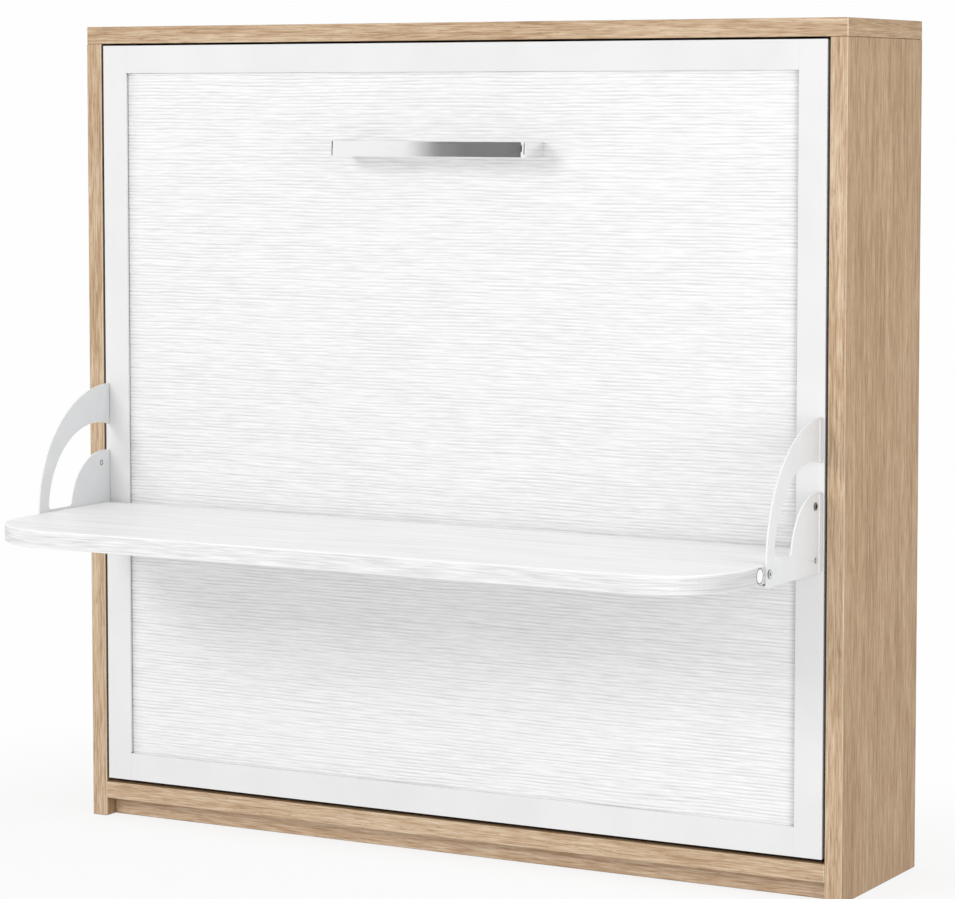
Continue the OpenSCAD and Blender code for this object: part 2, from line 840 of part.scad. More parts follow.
module coil(x0, x1) {
  rings = 10 * spring_turns;
  sides = 6;
  ring_at = function (i) let (a = 36 * i) [for (k = [0:sides - 1]) let (b = 360 * k / sides,
    r = spring_r + wire_r * cos(b)) [x0 + (x1 - x0) * i / rings + wire_r * sin(b), r * cos(a), r * sin(a)]];
  points = [for (i = [0:rings]) each ring_at(i)];
  walls = [for (i = [0:rings - 1], k = [0:sides - 1]) let (n = (k + 1) % sides, p = i * sides)
    each [[p + k, p + n, p + sides + n], [p + k, p + sides + n, p + sides + k]]];
  caps = [[for (k = [sides - 1:-1:0]) k], [for (k = [0:sides - 1]) rings * sides + k]];
  polyhedron(points, concat(walls, caps));
}

module latch_springs() {
  color("#9fa3a7") both() translate([0, -button_out, fold_z])
    coil(housing_x + 2 + wire_r + touch, slide_x - wire_r - touch);
}

module release_button(s) {
  proud = end_gap - touch;                    // the button clears the plate as the desk folds
  color("#f3f3f2") side(s) {
    bar_x(desk_half - 9, desk_half + proud, -button_out, fold_z, button_r);
    bar_x(slide_x + 4, desk_half - 9, -button_out, fold_z, 5);
  }
}

module latch_slide(s) {
  color("#9fa3a7") side(s) {
    block([slide_x, -button_out - 6, fold_z - 7], [slide_x + 4, -latch_out + 6, fold_z + 7]);
    bar_x(slide_x + 4, desk_half + end_gap - touch, -latch_out, fold_z, latch_r);
  }
}

// ---- gas struts ----------------------------------------------------------------------------

// Draws a strut part along -Z from the upper stud, then leans it to the lever.
module strut_place(s) {
  side(s) translate([strut_x, stud_y, stud_z]) rotate([-strut_angle, 0, 0]) children();
}

module eye(z) {
  translate([-eye_t / 2, 0, z]) rotate([0, 90, 0]) cylinder(h = eye_t, r = eye_r);
}

module eye_bore(z) {
  translate([-eye_t, 0, z]) rotate([0, 90, 0]) cylinder(h = 2 * eye_t, r = stud_r + run_fit);
}

module strut_cylinder(s) {
  mouth = 12;
  top = -eye_neck;
  color("#2d3033") strut_place(s) difference() {
    union() {
      eye(0);
      translate([0, 0, top]) cylinder(h = eye_neck, r = rod_r);
      translate([0, 0, top - cylinder_l]) cylinder(h = cylinder_l, r = strut_r);
    }
    eye_bore(0);
    translate([0, 0, top - cylinder_l + mouth]) cylinder(h = cylinder_l - mouth - 5, r = strut_r - 2);
    translate([0, 0, top - cylinder_l - overcut]) cylinder(h = mouth + 2, r = rod_r + run_fit);
  }
}

module strut_rod(s) {
  bottom = -strut_long;
  rod_top = -eye_neck - cylinder_l + rod_hidden;
  piston_h = 14;
  color("#d7dadc") strut_place(s) difference() {
    union() {
      eye(bottom);
      translate([0, 0, bottom]) cylinder(h = rod_top - bottom, r = rod_r);
      translate([0, 0, rod_top - piston_h]) cylinder(h = piston_h, r = strut_r - 2.1);
    }
    eye_bore(bottom);
  }
}

side_panel(-1);  // side_panel_left
side_panel(1);  // side_panel_right
top_panel();
bottom_board();
plinth_front();
plinth_rear();
plinth_ribs();
back_panel(-1);  // back_panel_left
back_panel(1);  // back_panel_right
back_joint_strip();
wall_rail();
dowels();
pivot_plates();
pivot_bushes();
strut_brackets();
closing_stops();
closing_buffers();
hardware_screws();
door_stile(-1);  // door_stile_left
door_stile(1);  // door_stile_right
door_rail(door_top - member_w);  // door_rail_top
door_rail(door_low);  // door_rail_bottom
door_panel();
handle();
handle_screws();
bed_side(-1);  // bed_side_left
bed_side(1);  // bed_side_right
bed_rail(rail_low);  // bed_rail_lower
bed_rail(rail_high);  // bed_rail_upper
bed_rail(beam_z);  // centre_beam
slats();
slat_holders();
mattress();
mattress_strap(-1);  // strap_left
mattress_strap(1);  // strap_right
door_screws();
quadrant(-1);  // quadrant_left
quadrant(1);  // quadrant_right
bracket_bolts();
bracket_spacers();
desk_rest_pads();
catch_keepers();
ball_plungers();
fold_pins();
pivot_pin(-1);  // pivot_pin_left
pivot_pin(1);  // pivot_pin_right
strut_lever(-1);  // strut_lever_left
strut_lever(1);  // strut_lever_right
desk_top();
fold_bushes();
latch_housings();
latch_springs();
release_button(-1);  // release_button_left
release_button(1);  // release_button_right
latch_slide(-1);  // latch_slide_left
latch_slide(1);  // latch_slide_right
strut_cylinder(-1);  // strut_cylinder_left
strut_cylinder(1);  // strut_cylinder_right
strut_rod(-1);  // strut_rod_left
strut_rod(1);  // strut_rod_right
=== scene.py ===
import math

import bmesh
import bpy
import numpy as np
from mathutils import Matrix, Vector


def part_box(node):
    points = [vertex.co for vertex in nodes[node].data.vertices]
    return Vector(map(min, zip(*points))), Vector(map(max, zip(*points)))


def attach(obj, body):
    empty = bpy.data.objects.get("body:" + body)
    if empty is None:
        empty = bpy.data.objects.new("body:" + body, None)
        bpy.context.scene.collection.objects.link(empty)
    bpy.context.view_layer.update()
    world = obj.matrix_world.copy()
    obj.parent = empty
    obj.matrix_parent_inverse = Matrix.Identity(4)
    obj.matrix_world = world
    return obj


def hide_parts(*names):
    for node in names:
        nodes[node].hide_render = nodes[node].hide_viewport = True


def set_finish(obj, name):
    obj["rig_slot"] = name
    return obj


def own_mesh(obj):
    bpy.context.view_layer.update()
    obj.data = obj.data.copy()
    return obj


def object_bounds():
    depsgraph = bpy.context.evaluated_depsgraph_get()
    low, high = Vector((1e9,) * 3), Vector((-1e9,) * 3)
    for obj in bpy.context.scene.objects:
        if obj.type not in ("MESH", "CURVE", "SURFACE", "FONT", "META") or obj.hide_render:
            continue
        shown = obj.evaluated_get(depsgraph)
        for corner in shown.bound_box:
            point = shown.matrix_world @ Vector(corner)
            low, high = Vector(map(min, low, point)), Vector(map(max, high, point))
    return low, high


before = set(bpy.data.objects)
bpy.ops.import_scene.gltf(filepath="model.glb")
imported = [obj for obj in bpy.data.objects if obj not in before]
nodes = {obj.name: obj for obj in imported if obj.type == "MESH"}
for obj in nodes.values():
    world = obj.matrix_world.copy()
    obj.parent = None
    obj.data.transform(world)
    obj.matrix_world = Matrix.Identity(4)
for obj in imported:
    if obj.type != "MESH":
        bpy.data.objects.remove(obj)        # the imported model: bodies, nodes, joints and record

for name in ("Cube", "Light", "Camera"):     # what a new Blender file holds
    if name in bpy.data.objects:
        bpy.data.objects.remove(bpy.data.objects[name])
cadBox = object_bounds()
mm = 0.001               # every size below is in metres, written as so many mm
print("frame loaded,", len(nodes), "nodes")


def addObject(name, data):
    thing = bpy.data.objects.new(name, data)
    bpy.context.scene.collection.objects.link(thing)
    return thing


view = {
    "place": (3.946, -6.910, 1.793),
    "turn": 28.94,       # degrees that it looks to the left
    "tilt": -4.22,       # a little downwards
    "roll": -0.01,
    "lens": 128.5,
    "shiftY": -0.10,
}


def makeCamera():
    camera = addObject("camera", bpy.data.cameras.new("camera"))
    turn = Matrix.Rotation(math.radians(view["turn"]), 4, "Z")
    tilt = Matrix.Rotation(math.radians(90 + view["tilt"]), 4, "X")
    roll = Matrix.Rotation(math.radians(view["roll"]), 4, "Z")
    camera.matrix_world = Matrix.Translation(view["place"]) @ turn @ tilt @ roll
    camera.data.lens = view["lens"]
    camera.data.shift_y = view["shiftY"]
    bpy.context.scene.camera = camera


makeCamera()
bpy.context.scene.view_settings.view_transform = "Standard"
print("camera placed")


def hexColour(code):
    channels = [int(code[i:i + 2], 16) / 255 for i in (1, 3, 5)]
    linear = [c / 12.92 if c <= 0.04045 else ((c + 0.055) / 1.055) ** 2.4 for c in channels]
    return (*linear, 1.0)


def plain(value):
    return hexColour(value) if isinstance(value, str) else value


def connect(node, links):
    # an input takes a socket, a node (for its first output in use), a hex colour or a plain value
    for name, source in links.items():
        if isinstance(source, bpy.types.Node):
            source = next(socket for socket in source.outputs if socket.enabled)
        if isinstance(source, bpy.types.NodeSocket):
            node.id_data.links.new(source, node.inputs[name])
        else:
            node.inputs[name].default_value = plain(source)


def addNode(tree, kind, links=None, stops=None, **settings):
    node = tree.nodes.new("ShaderNode" + kind)
    for name, value in settings.items():
        setattr(node, name, value)
    connect(node, links or {})
    if stops:            # a colour ramp's stops, from its low end to its high end
        ramp = node.color_ramp.elements
        for stop in stops[1:-1]:
            ramp.new(stop[0])
        for element, (at, tone) in zip(ramp, stops):
            element.position, element.color = at, plain(tone)
    return node


blend = {"data_type": "RGBA"}                               # a Mix of two colours
multiply = {"data_type": "RGBA", "blend_type": "MULTIPLY"}  # the same, one tinting the other
bandsPerScale = 3.2      # a wave texture at scale 1 draws this many bands to the metre


def spacing(size):
    return 1 / size      # texture scale that puts the features this many metres apart


def startMaterial(name, shine):
    material = bpy.data.materials.new(name)
    material.use_nodes = True
    tree = material.node_tree
    shader = tree.nodes["Principled BSDF"]
    connect(shader, shine)
    place = addNode(tree, "TexCoord").outputs["Object"]
    return material, tree, shader, place


def addPiece(name, shape, body, material, slot):
    piece = addObject(name, shape)
    shape.materials.clear()
    shape.materials.append(material)
    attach(piece, body)
    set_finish(piece, slot)
    return piece


def meshFrom(name, points, faces, smooth=True):
    mesh = bpy.data.meshes.new(name)
    mesh.from_pydata([tuple(p) for p in points], [], [tuple(f) for f in faces])
    mesh.validate()
    mesh.polygons.foreach_set("use_smooth", [smooth] * len(mesh.polygons))
    mesh.update()
    return mesh


def fixNormals(mesh):
    work = bmesh.new()
    work.from_mesh(mesh)
    bmesh.ops.recalc_face_normals(work, faces=work.faces)
    work.to_mesh(mesh)
    work.free()


# Chipboard faced with a printed oak decor, pressed matt: long fine streaks and short pores run along
# the grain over soft wide bands of tone, with hardly any gloss. The wide faces are toned darker than
# the edge band on the front as painted shade, a painted highlight lightens the broken edges, and the
# slits between boards are darkened as painted shade. The finest streaks are 2 mm wide in the real
# decor and are drawn 2.8 mm wide, so that they show.
def decorOak(name, along, endAlong=None, tone="#c7ab8c"):
    oak = {
        "fine": 2.8 * mm, "fineStretch": 24, "fineShare": 0.46,
        "streak": 11 * mm, "streakStretch": 34, "streakShare": 0.24,
        "band": 55 * mm, "bandStretch": 9, "bandShare": 0.13,
        "pore": 2.4 * mm, "poreStretch": 11,
        # the arris tone is a painted highlight on the broken edges
        "dark": "#a78666", "light": "#dec9ae", "poreTone": "#8f7052", "arrisHighlight": "#e8d6be",
        # the face tint is painted shade on the wide faces, and the crevice tone is painted shade in the slits
        "wideFaceShade": "#dad2c5", "creviceShade": "#2e251d", "crevice": 12 * mm,
    }
    noiseLooks = {
        "fine": {"Detail": 2.0, "Distortion": 0.2}, "streak": {"Detail": 3.0, "Distortion": 0.3},
        "band": {"Detail": 1.0, "Distortion": 0.6}, "pore": {"Detail": 1.0},
    }
    material, tree, shader, place = startMaterial(name, {
        "Roughness": 0.52, "IOR": 1.5, "Specular IOR Level": 0.35})
    facing = addNode(tree, "SeparateXYZ", {0: addNode(tree, "TexCoord").outputs["Normal"]})
    grain = place
    if endAlong:         # the edge band on the board's ends runs along its own length
        long, wide = "xyz".index(along), "xyz".index(endAlong)
        order = [0, 1, 2]
        order[long], order[wide] = wide, long
        ends = addNode(tree, "SeparateXYZ", {0: place})
        turned = addNode(tree, "CombineXYZ", {i: ends.outputs[order[i]] for i in range(3)})
        endward = addNode(tree, "Math", {0: facing.outputs[long]}, operation="ABSOLUTE")
        isEnd = addNode(tree, "Math", {0: endward, 1: 0.8}, operation="GREATER_THAN")
        grain = addNode(tree, "Mix", {0: isEnd, 4: place, 5: turned}, data_type="VECTOR")
    noises = {}
    for part, look in noiseLooks.items():
        squeeze = [1 / oak[part + "Stretch"] if axis == along else 1.0 for axis in "xyz"]
        squeezed = addNode(tree, "VectorMath", {0: grain, 1: squeeze}, operation="MULTIPLY")
        noises[part] = addNode(tree, "TexNoise", {"Vector": squeezed, "Scale": spacing(oak[part]), **look})
    level = 0.5
    for part in ("fine", "streak", "band"):
        off = addNode(tree, "Math", {0: noises[part], 1: 0.5}, operation="SUBTRACT")
        level = addNode(tree, "Math", {0: off, 1: oak[part + "Share"], 2: level}, operation="MULTIPLY_ADD")
    tones = addNode(tree, "ValToRGB", {0: level}, [(0.39, oak["dark"]), (0.50, tone), (0.62, oak["light"])])
    isPore = addNode(tree, "MapRange", {0: noises["pore"], 1: 0.60, 2: 0.70, 3: 0.0, 4: 0.45})
    pored = addNode(tree, "Mix", {0: isPore, 6: tones, 7: oak["poreTone"]}, **blend)
    frontward = addNode(tree, "Math", {0: facing.outputs[1]}, operation="ABSOLUTE")
    # painted shade: the wide faces are darkened against the front edge band
    isFace = addNode(tree, "MapRange", {0: frontward, 1: 0.5, 2: 0.8, 3: 1.0, 4: 0.0})
    faceShaded = addNode(tree, "Mix", {0: isFace, 6: pored, 7: oak["wideFaceShade"]}, **multiply)
    # painted highlight: the bevels between front and side faces are lightened
    slant = addNode(tree, "Math", {0: facing.outputs[0], 1: facing.outputs[1]}, operation="MULTIPLY")
    slantSize = addNode(tree, "Math", {0: slant}, operation="ABSOLUTE")
    isHighlitArris = addNode(tree, "MapRange", {0: slantSize, 1: 0.10, 2: 0.35, 3: 0.0, 4: 0.9})
    edged = addNode(tree, "Mix", {0: isHighlitArris, 6: faceShaded, 7: oak["arrisHighlight"]}, **blend)
    # painted shade: the colour goes dark where the AO node finds the slits between boards
    near = addNode(tree, "AmbientOcclusion", {"Distance": oak["crevice"]}, samples=8).outputs["AO"]
    isInShade = addNode(tree, "MapRange", {0: near, 1: 0.20, 2: 0.50, 3: 0.80, 4: 0.0})
    colour = addNode(tree, "Mix", {0: isInShade, 6: edged, 7: oak["creviceShade"]}, **blend)
    bump = addNode(tree, "Bump", {"Strength": 0.3, "Distance": 0.12 * mm, "Height": level})
    connect(shader, {"Base Color": colour, "Normal": bump})
    return material


# MDF sprayed with satin lacquer: an even off-white with a faint orange peel. Narrow slits between
# parts are darkened as painted shade. The peel is finer than the picture shows, so it is drawn a little
# coarser.
def sprayedMdf(name):
    lacquer = {
        "peel": 5 * mm, "cloud": 160 * mm, "crevice": 10 * mm,
        # the bare tone is painted shade for the slits
        "low": "#e6e6e6", "high": "#eaeaea", "slitShade": "#262422",
    }
    material, tree, shader, place = startMaterial(name, {"Roughness": 0.38, "IOR": 1.5})
    cloud = addNode(tree, "TexNoise", {"Vector": place, "Scale": spacing(lacquer["cloud"]), "Detail": 2.0})
    tones = addNode(tree, "ValToRGB", {0: cloud}, [(0.35, lacquer["low"]), (0.65, lacquer["high"])])
    # painted shade: the colour goes towards near black where the AO node finds narrow slits
    near = addNode(tree, "AmbientOcclusion", {"Distance": lacquer["crevice"]}, samples=8).outputs["AO"]
    isInShade = addNode(tree, "MapRange", {0: near, 1: 0.25, 2: 0.60, 3: 0.9, 4: 0.0})
    colour = addNode(tree, "Mix", {0: isInShade, 6: tones, 7: lacquer["slitShade"]}, **blend)
    peel = addNode(tree, "TexNoise", {"Vector": place, "Scale": spacing(lacquer["peel"]), "Detail": 1.0})
    bump = addNode(tree, "Bump", {"Strength": 0.10, "Distance": 0.05 * mm, "Height": peel})
    connect(shader, {"Base Color": colour, "Normal": bump})
    return material


# MDF panel pressed with a wavy line relief and wrapped in matt white foil. The lines are in the
# mesh; their grooves are painted greyer as painted shade and their crests whiter as painted
# highlight, and the finest lines between them are a bump.
def embossedMdf(name, faceY):
    foil = {"line": 2.6 * mm, "stretch": 22, "grooveDepth": 1.0 * mm,
            # the crest tone is a painted highlight and the groove tone is painted shade
            "crestHighlight": "#fdfdfd", "slope": "#f8f8f8", "groove": "#e4e4e4"}
    material, tree, shader, place = startMaterial(name, {
        "Roughness": 0.48, "IOR": 1.46, "Specular IOR Level": 0.4})
    squeezed = addNode(tree, "VectorMath", {0: place, 1: (1 / foil["stretch"], 1, 1)}, operation="MULTIPLY")
    fine = addNode(tree, "TexNoise", {"Vector": squeezed, "Scale": spacing(foil["line"]), "Detail": 2.0,
                                      "Distortion": 0.3})
    depth = addNode(tree, "SeparateXYZ", {0: place}).outputs[1]
    # painted light: deeper in the relief is greyer as painted shade, the crests whiter as painted highlight
    deep = addNode(tree, "MapRange", {0: depth, 1: faceY, 2: faceY + foil["grooveDepth"]})
    tones = addNode(tree, "ValToRGB", {0: deep}, [
        (0.03, foil["crestHighlight"]), (0.17, foil["slope"]), (0.80, foil["groove"])])
    flecks = addNode(tree, "ValToRGB", {0: fine}, [(0.35, "#f1f1f1"), (0.62, "#ffffff")])
    colour = addNode(tree, "Mix", {0: 1.0, 6: tones, 7: flecks}, **multiply)
    bump = addNode(tree, "Bump", {"Strength": 0.5, "Distance": 0.35 * mm, "Height": fine})
    connect(shader, {"Base Color": colour, "Normal": bump})
    return material


# Desk board in white wood-grain laminate: a faint grain along the top and clear fine lines that
# follow the edge band round the corners. The edge is also toned darker than the top as painted
# shade, a painted highlight runs along the arris, and the ends and the underside are greyed as
# painted shade.
def woodgrainLaminate(name):
    board = {"grain": 11 * mm, "stretch": 30, "line": 3.6 * mm, "lineStretch": 28,
             # the arris tone is a painted highlight, and the under tint is painted shade
             "arrisHighlight": "#fdfdfd", "undersideShade": "#f0f0f0"}
    material, tree, shader, place = startMaterial(name, {
        "Roughness": 0.42, "IOR": 1.5, "Specular IOR Level": 0.4})
    topWay = addNode(tree, "VectorMath", {0: place, 1: (1 / board["stretch"], 1, 1)}, operation="MULTIPLY")
    grain = addNode(tree, "TexNoise", {"Vector": topWay, "Scale": spacing(board["grain"]), "Detail": 3.0,
                                       "Distortion": 0.4})
    topTone = addNode(tree, "ValToRGB", {0: grain}, [(0.32, "#eeeeee"), (0.50, "#f9f9f9"), (0.68, "#ffffff")])
    squeeze = 1 / board["lineStretch"]
    sideWay = addNode(tree, "VectorMath", {0: place, 1: (squeeze, squeeze, 1)}, operation="MULTIPLY")
    lines = addNode(tree, "TexNoise", {"Vector": sideWay, "Scale": spacing(board["line"]), "Detail": 2.0,
                                       "Distortion": 0.5})
    # the lines are the edge band's print; the edge is also toned darker than the top, as painted shade
    sideTone = addNode(tree, "ValToRGB", {0: lines}, [
        (0.33, "#d7d7d7"), (0.47, "#e5e5e5"), (0.64, "#f4f4f4")])
    facing = addNode(tree, "SeparateXYZ", {0: addNode(tree, "TexCoord").outputs["Normal"]})
    upward = facing.outputs[2]
    flat = addNode(tree, "Math", {0: upward}, operation="ABSOLUTE")
    isFlat = addNode(tree, "MapRange", {0: flat, 1: 0.55, 2: 0.8})
    faced = addNode(tree, "Mix", {0: isFlat, 6: sideTone, 7: topTone}, **blend)
    # painted highlight: the eased edge between top and edge band is lightened
    isHighlitArris = addNode(tree, "ValToRGB", {0: flat}, [
        (0.15, "#000000"), (0.40, "#ffffff"), (0.75, "#ffffff"), (0.97, "#000000")])
    edged = addNode(tree, "Mix", {0: isHighlitArris, 6: faced, 7: board["arrisHighlight"]}, **blend)
    # painted shade: the underside is greyed
    isUnder = addNode(tree, "MapRange", {0: upward, 1: -0.5, 2: -0.9})
    shaded = addNode(tree, "Mix", {0: isUnder, 6: edged, 7: board["undersideShade"]}, **multiply)
    # painted shade: faces turned towards the ends are greyed
    sideways = addNode(tree, "Math", {0: facing.outputs[0]}, operation="ABSOLUTE")
    endShade = addNode(tree, "ValToRGB", {0: sideways}, [
        (0.45, "#ffffff"), (0.65, "#f3f3f3"), (0.80, "#e7e7e7"), (0.97, "#dadada")])
    colour = addNode(tree, "Mix", {0: 1.0, 6: shaded, 7: endShade}, **multiply)
    relief = addNode(tree, "Mix", {0: isFlat, 2: lines, 3: grain}, data_type="FLOAT")
    bump = addNode(tree, "Bump", {"Strength": 0.4, "Distance": 0.25 * mm, "Height": relief})
    connect(shader, {"Base Color": colour, "Normal": bump})
    return material


# Flat steel bar, polished and chrome plated: a near mirror with a trace of polishing haze and of
# fine hairlines along the bar.
def chromePlate(name, tone="#f3f3f3", haze=0.07):
    plate = {"cloud": 40 * mm, "hair": 1.6 * mm, "stretch": 20}
    material, tree, shader, place = startMaterial(name, {
        "Base Color": tone, "Metallic": 1.0, "Roughness": haze})
    squeezed = addNode(tree, "VectorMath", {0: place, 1: (1 / plate["stretch"], 1, 1)}, operation="MULTIPLY")
    hair = addNode(tree, "TexNoise", {"Vector": squeezed, "Scale": spacing(plate["hair"]), "Detail": 2.0})
    cloud = addNode(tree, "TexNoise", {"Vector": place, "Scale": spacing(plate["cloud"]), "Detail": 3.0})
    both = addNode(tree, "Math", {0: hair, 1: cloud}, operation="MULTIPLY")
    rough = addNode(tree, "MapRange", {0: both, 1: 0.1, 2: 0.5, 3: haze * 0.7, 4: haze * 1.6})
    bump = addNode(tree, "Bump", {"Strength": 0.02, "Distance": 0.02 * mm, "Height": hair})
    connect(shader, {"Roughness": rough, "Normal": bump})
    return material


# Steel with baked powder paint: even satin colour with the fine orange peel that powder leaves. On
# thin plates the cut edges are painted lighter than the faces, as a painted highlight.
def powderCoat(name, tone, peel=2.4 * mm, cloud=60 * mm, roughness=0.42, highlitEdgeTone=None):
    material, tree, shader, place = startMaterial(name, {"Roughness": roughness, "IOR": 1.5})
    cloud = addNode(tree, "TexNoise", {"Vector": place, "Scale": spacing(cloud), "Detail": 3.0})
    shade = addNode(tree, "MapRange", {0: cloud, 1: 0.3, 2: 0.7, 3: 0.955, 4: 1.0})
    facing = addNode(tree, "SeparateXYZ", {0: addNode(tree, "TexCoord").outputs["Normal"]})
    sideways = addNode(tree, "Math", {0: facing}, operation="ABSOLUTE")
    # painted highlight: the cut edges take the lighter tone
    isFace = addNode(tree, "MapRange", {0: sideways, 1: 0.6, 2: 0.95})
    painted = addNode(tree, "Mix", {0: isFace, 6: highlitEdgeTone or tone, 7: tone}, **blend)
    colour = addNode(tree, "VectorMath", {0: painted, "Scale": shade}, operation="SCALE")
    bubbles = addNode(tree, "TexNoise", {"Vector": place, "Scale": spacing(peel), "Detail": 1.0})
    bump = addNode(tree, "Bump", {"Strength": 0.25, "Distance": 0.06 * mm, "Height": bubbles})
    connect(shader, {"Base Color": colour, "Normal": bump})
    return material


# Steel or bronze that is plated and left unpolished: blotchy sheen with drawn or rolled lines, which
# squeeze stretches along the height.
def platedMetal(name, tone, roughness, blotch=14 * mm, line=1.2 * mm, squeeze=0.06):
    material, tree, shader, place = startMaterial(name, {"Metallic": 1.0, "Roughness": roughness})
    spots = addNode(tree, "TexVoronoi", {"Vector": place, "Scale": spacing(blotch), "Randomness": 1.0},
                    feature="SMOOTH_F1")
    drawn = addNode(tree, "VectorMath", {0: place, 1: (1, 1, squeeze)}, operation="MULTIPLY")
    lines = addNode(tree, "TexNoise", {"Vector": drawn, "Scale": spacing(line), "Detail": 2.0})
    mixed = addNode(tree, "Math", {0: spots.outputs["Distance"], 1: lines}, operation="ADD")
    shade = addNode(tree, "MapRange", {0: mixed, 1: 0.3, 2: 1.3, 3: 0.86, 4: 1.05})
    colour = addNode(tree, "VectorMath", {0: hexColour(tone)[:3], "Scale": shade}, operation="SCALE")
    rough = addNode(tree, "MapRange", {0: mixed, 1: 0.3, 2: 1.3, 3: roughness * 0.75, 4: roughness * 1.35})
    bump = addNode(tree, "Bump", {"Strength": 0.1, "Distance": 0.03 * mm, "Height": lines})
    connect(shader, {"Base Color": colour, "Roughness": rough, "Normal": bump})
    return material


# Small turned fittings on the brackets, nickel plated: faint turning rings over tones laid in rings
# that paint the fittings' light and shade, with dark middles and rims as painted shade and, on the
# pin, a bright ring as painted highlight. The tones in rings run outwards, and 1.0 is the rim.
# insideRings are the tones of the end that looks towards the desk, where it differs.
def turnedFitting(name, node, rings, insideRings=None, roughness=0.42, turn=0.5 * mm):
    low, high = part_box(node)
    axis = (0, (low.y + high.y) / 2, (low.z + high.z) / 2)
    material, tree, shader, place = startMaterial(name, {"Metallic": 0.6, "Roughness": roughness})
    off = addNode(tree, "VectorMath", {0: place, 1: axis}, operation="SUBTRACT")
    across = addNode(tree, "VectorMath", {0: off, 1: (0, 1, 1)}, operation="MULTIPLY")
    out = addNode(tree, "VectorMath", {0: across}, operation="LENGTH")
    part = addNode(tree, "Math", {0: out, 1: (high.z - low.z) / 2}, operation="DIVIDE")
    tones = addNode(tree, "ValToRGB", {0: part}, rings)
    if insideRings:
        inner = addNode(tree, "ValToRGB", {0: part}, insideRings)
        facing = addNode(tree, "TexCoord").outputs["Normal"]
        outward = addNode(tree, "VectorMath", {0: facing, 1: place}, operation="MULTIPLY")
        sideways = addNode(tree, "SeparateXYZ", {0: outward})
        isInside = addNode(tree, "Math", {0: sideways, 1: 0.0}, operation="LESS_THAN")
        tones = addNode(tree, "Mix", {0: isInside, 6: tones, 7: inner}, **blend)
    turns = addNode(tree, "Math", {0: out, 1: spacing(turn)}, operation="MULTIPLY")
    turning = addNode(tree, "TexNoise", {"W": turns}, noise_dimensions="1D")
    shade = addNode(tree, "MapRange", {0: turning, 1: 0.3, 2: 0.7, 3: 0.92, 4: 1.0})
    colour = addNode(tree, "VectorMath", {0: tones, "Scale": shade}, operation="SCALE")
    bump = addNode(tree, "Bump", {"Strength": 0.1, "Distance": 0.03 * mm, "Height": turning})
    connect(shader, {"Base Color": colour, "Normal": bump})
    return material


# Moulded plastic or rubber: the mould's fine spark texture and slight clouding of the pigment.
def moulded(name, tone, roughness, grain, depth, ior, cloud=25 * mm):
    material, tree, shader, place = startMaterial(name, {"Roughness": roughness, "IOR": ior})
    cloud = addNode(tree, "TexNoise", {"Vector": place, "Scale": spacing(cloud), "Detail": 2.0})
    shade = addNode(tree, "MapRange", {0: cloud, 1: 0.3, 2: 0.7, 3: 0.94, 4: 1.03})
    colour = addNode(tree, "VectorMath", {0: hexColour(tone)[:3], "Scale": shade}, operation="SCALE")
    spark = addNode(tree, "TexNoise", {"Vector": place, "Scale": spacing(grain), "Detail": 3.0})
    rough = addNode(tree, "MapRange", {0: spark, 1: 0.3, 2: 0.7, 3: roughness * 0.85, 4: roughness * 1.15})
    bump = addNode(tree, "Bump", {"Strength": 0.3, "Distance": depth, "Height": spark})
    connect(shader, {"Base Color": colour, "Roughness": rough, "Normal": bump})
    return material


# Beech, sawn or turned and left unfinished: pale, even wood with short dark flecks.
def plainBeech(name, along):
    beech = {"grain": 6 * mm, "stretch": 22, "fleck": 2.6 * mm,
             "dark": "#c9a674", "tone": "#dcbf95", "light": "#ead3ae", "fleckTone": "#9c7346"}
    material, tree, shader, place = startMaterial(name, {
        "Roughness": 0.58, "IOR": 1.5, "Specular IOR Level": 0.3})
    squeeze = [1 / beech["stretch"] if axis == along else 1.0 for axis in "xyz"]
    grain = addNode(tree, "VectorMath", {0: place, 1: squeeze}, operation="MULTIPLY")
    streak = addNode(tree, "TexNoise", {"Vector": grain, "Scale": spacing(beech["grain"]), "Detail": 3.0})
    tones = addNode(tree, "ValToRGB", {0: streak}, [
        (0.32, beech["dark"]), (0.52, beech["tone"]), (0.72, beech["light"])])
    fleck = addNode(tree, "TexNoise", {"Vector": grain, "Scale": spacing(beech["fleck"]), "Detail": 1.0})
    isFleck = addNode(tree, "MapRange", {0: fleck, 1: 0.66, 2: 0.74, 3: 0.0, 4: 0.5})
    colour = addNode(tree, "Mix", {0: isFleck, 6: tones, 7: beech["fleckTone"]}, **blend)
    bump = addNode(tree, "Bump", {"Strength": 0.3, "Distance": 0.1 * mm, "Height": streak})
    connect(shader, {"Base Color": colour, "Normal": bump})
    return material


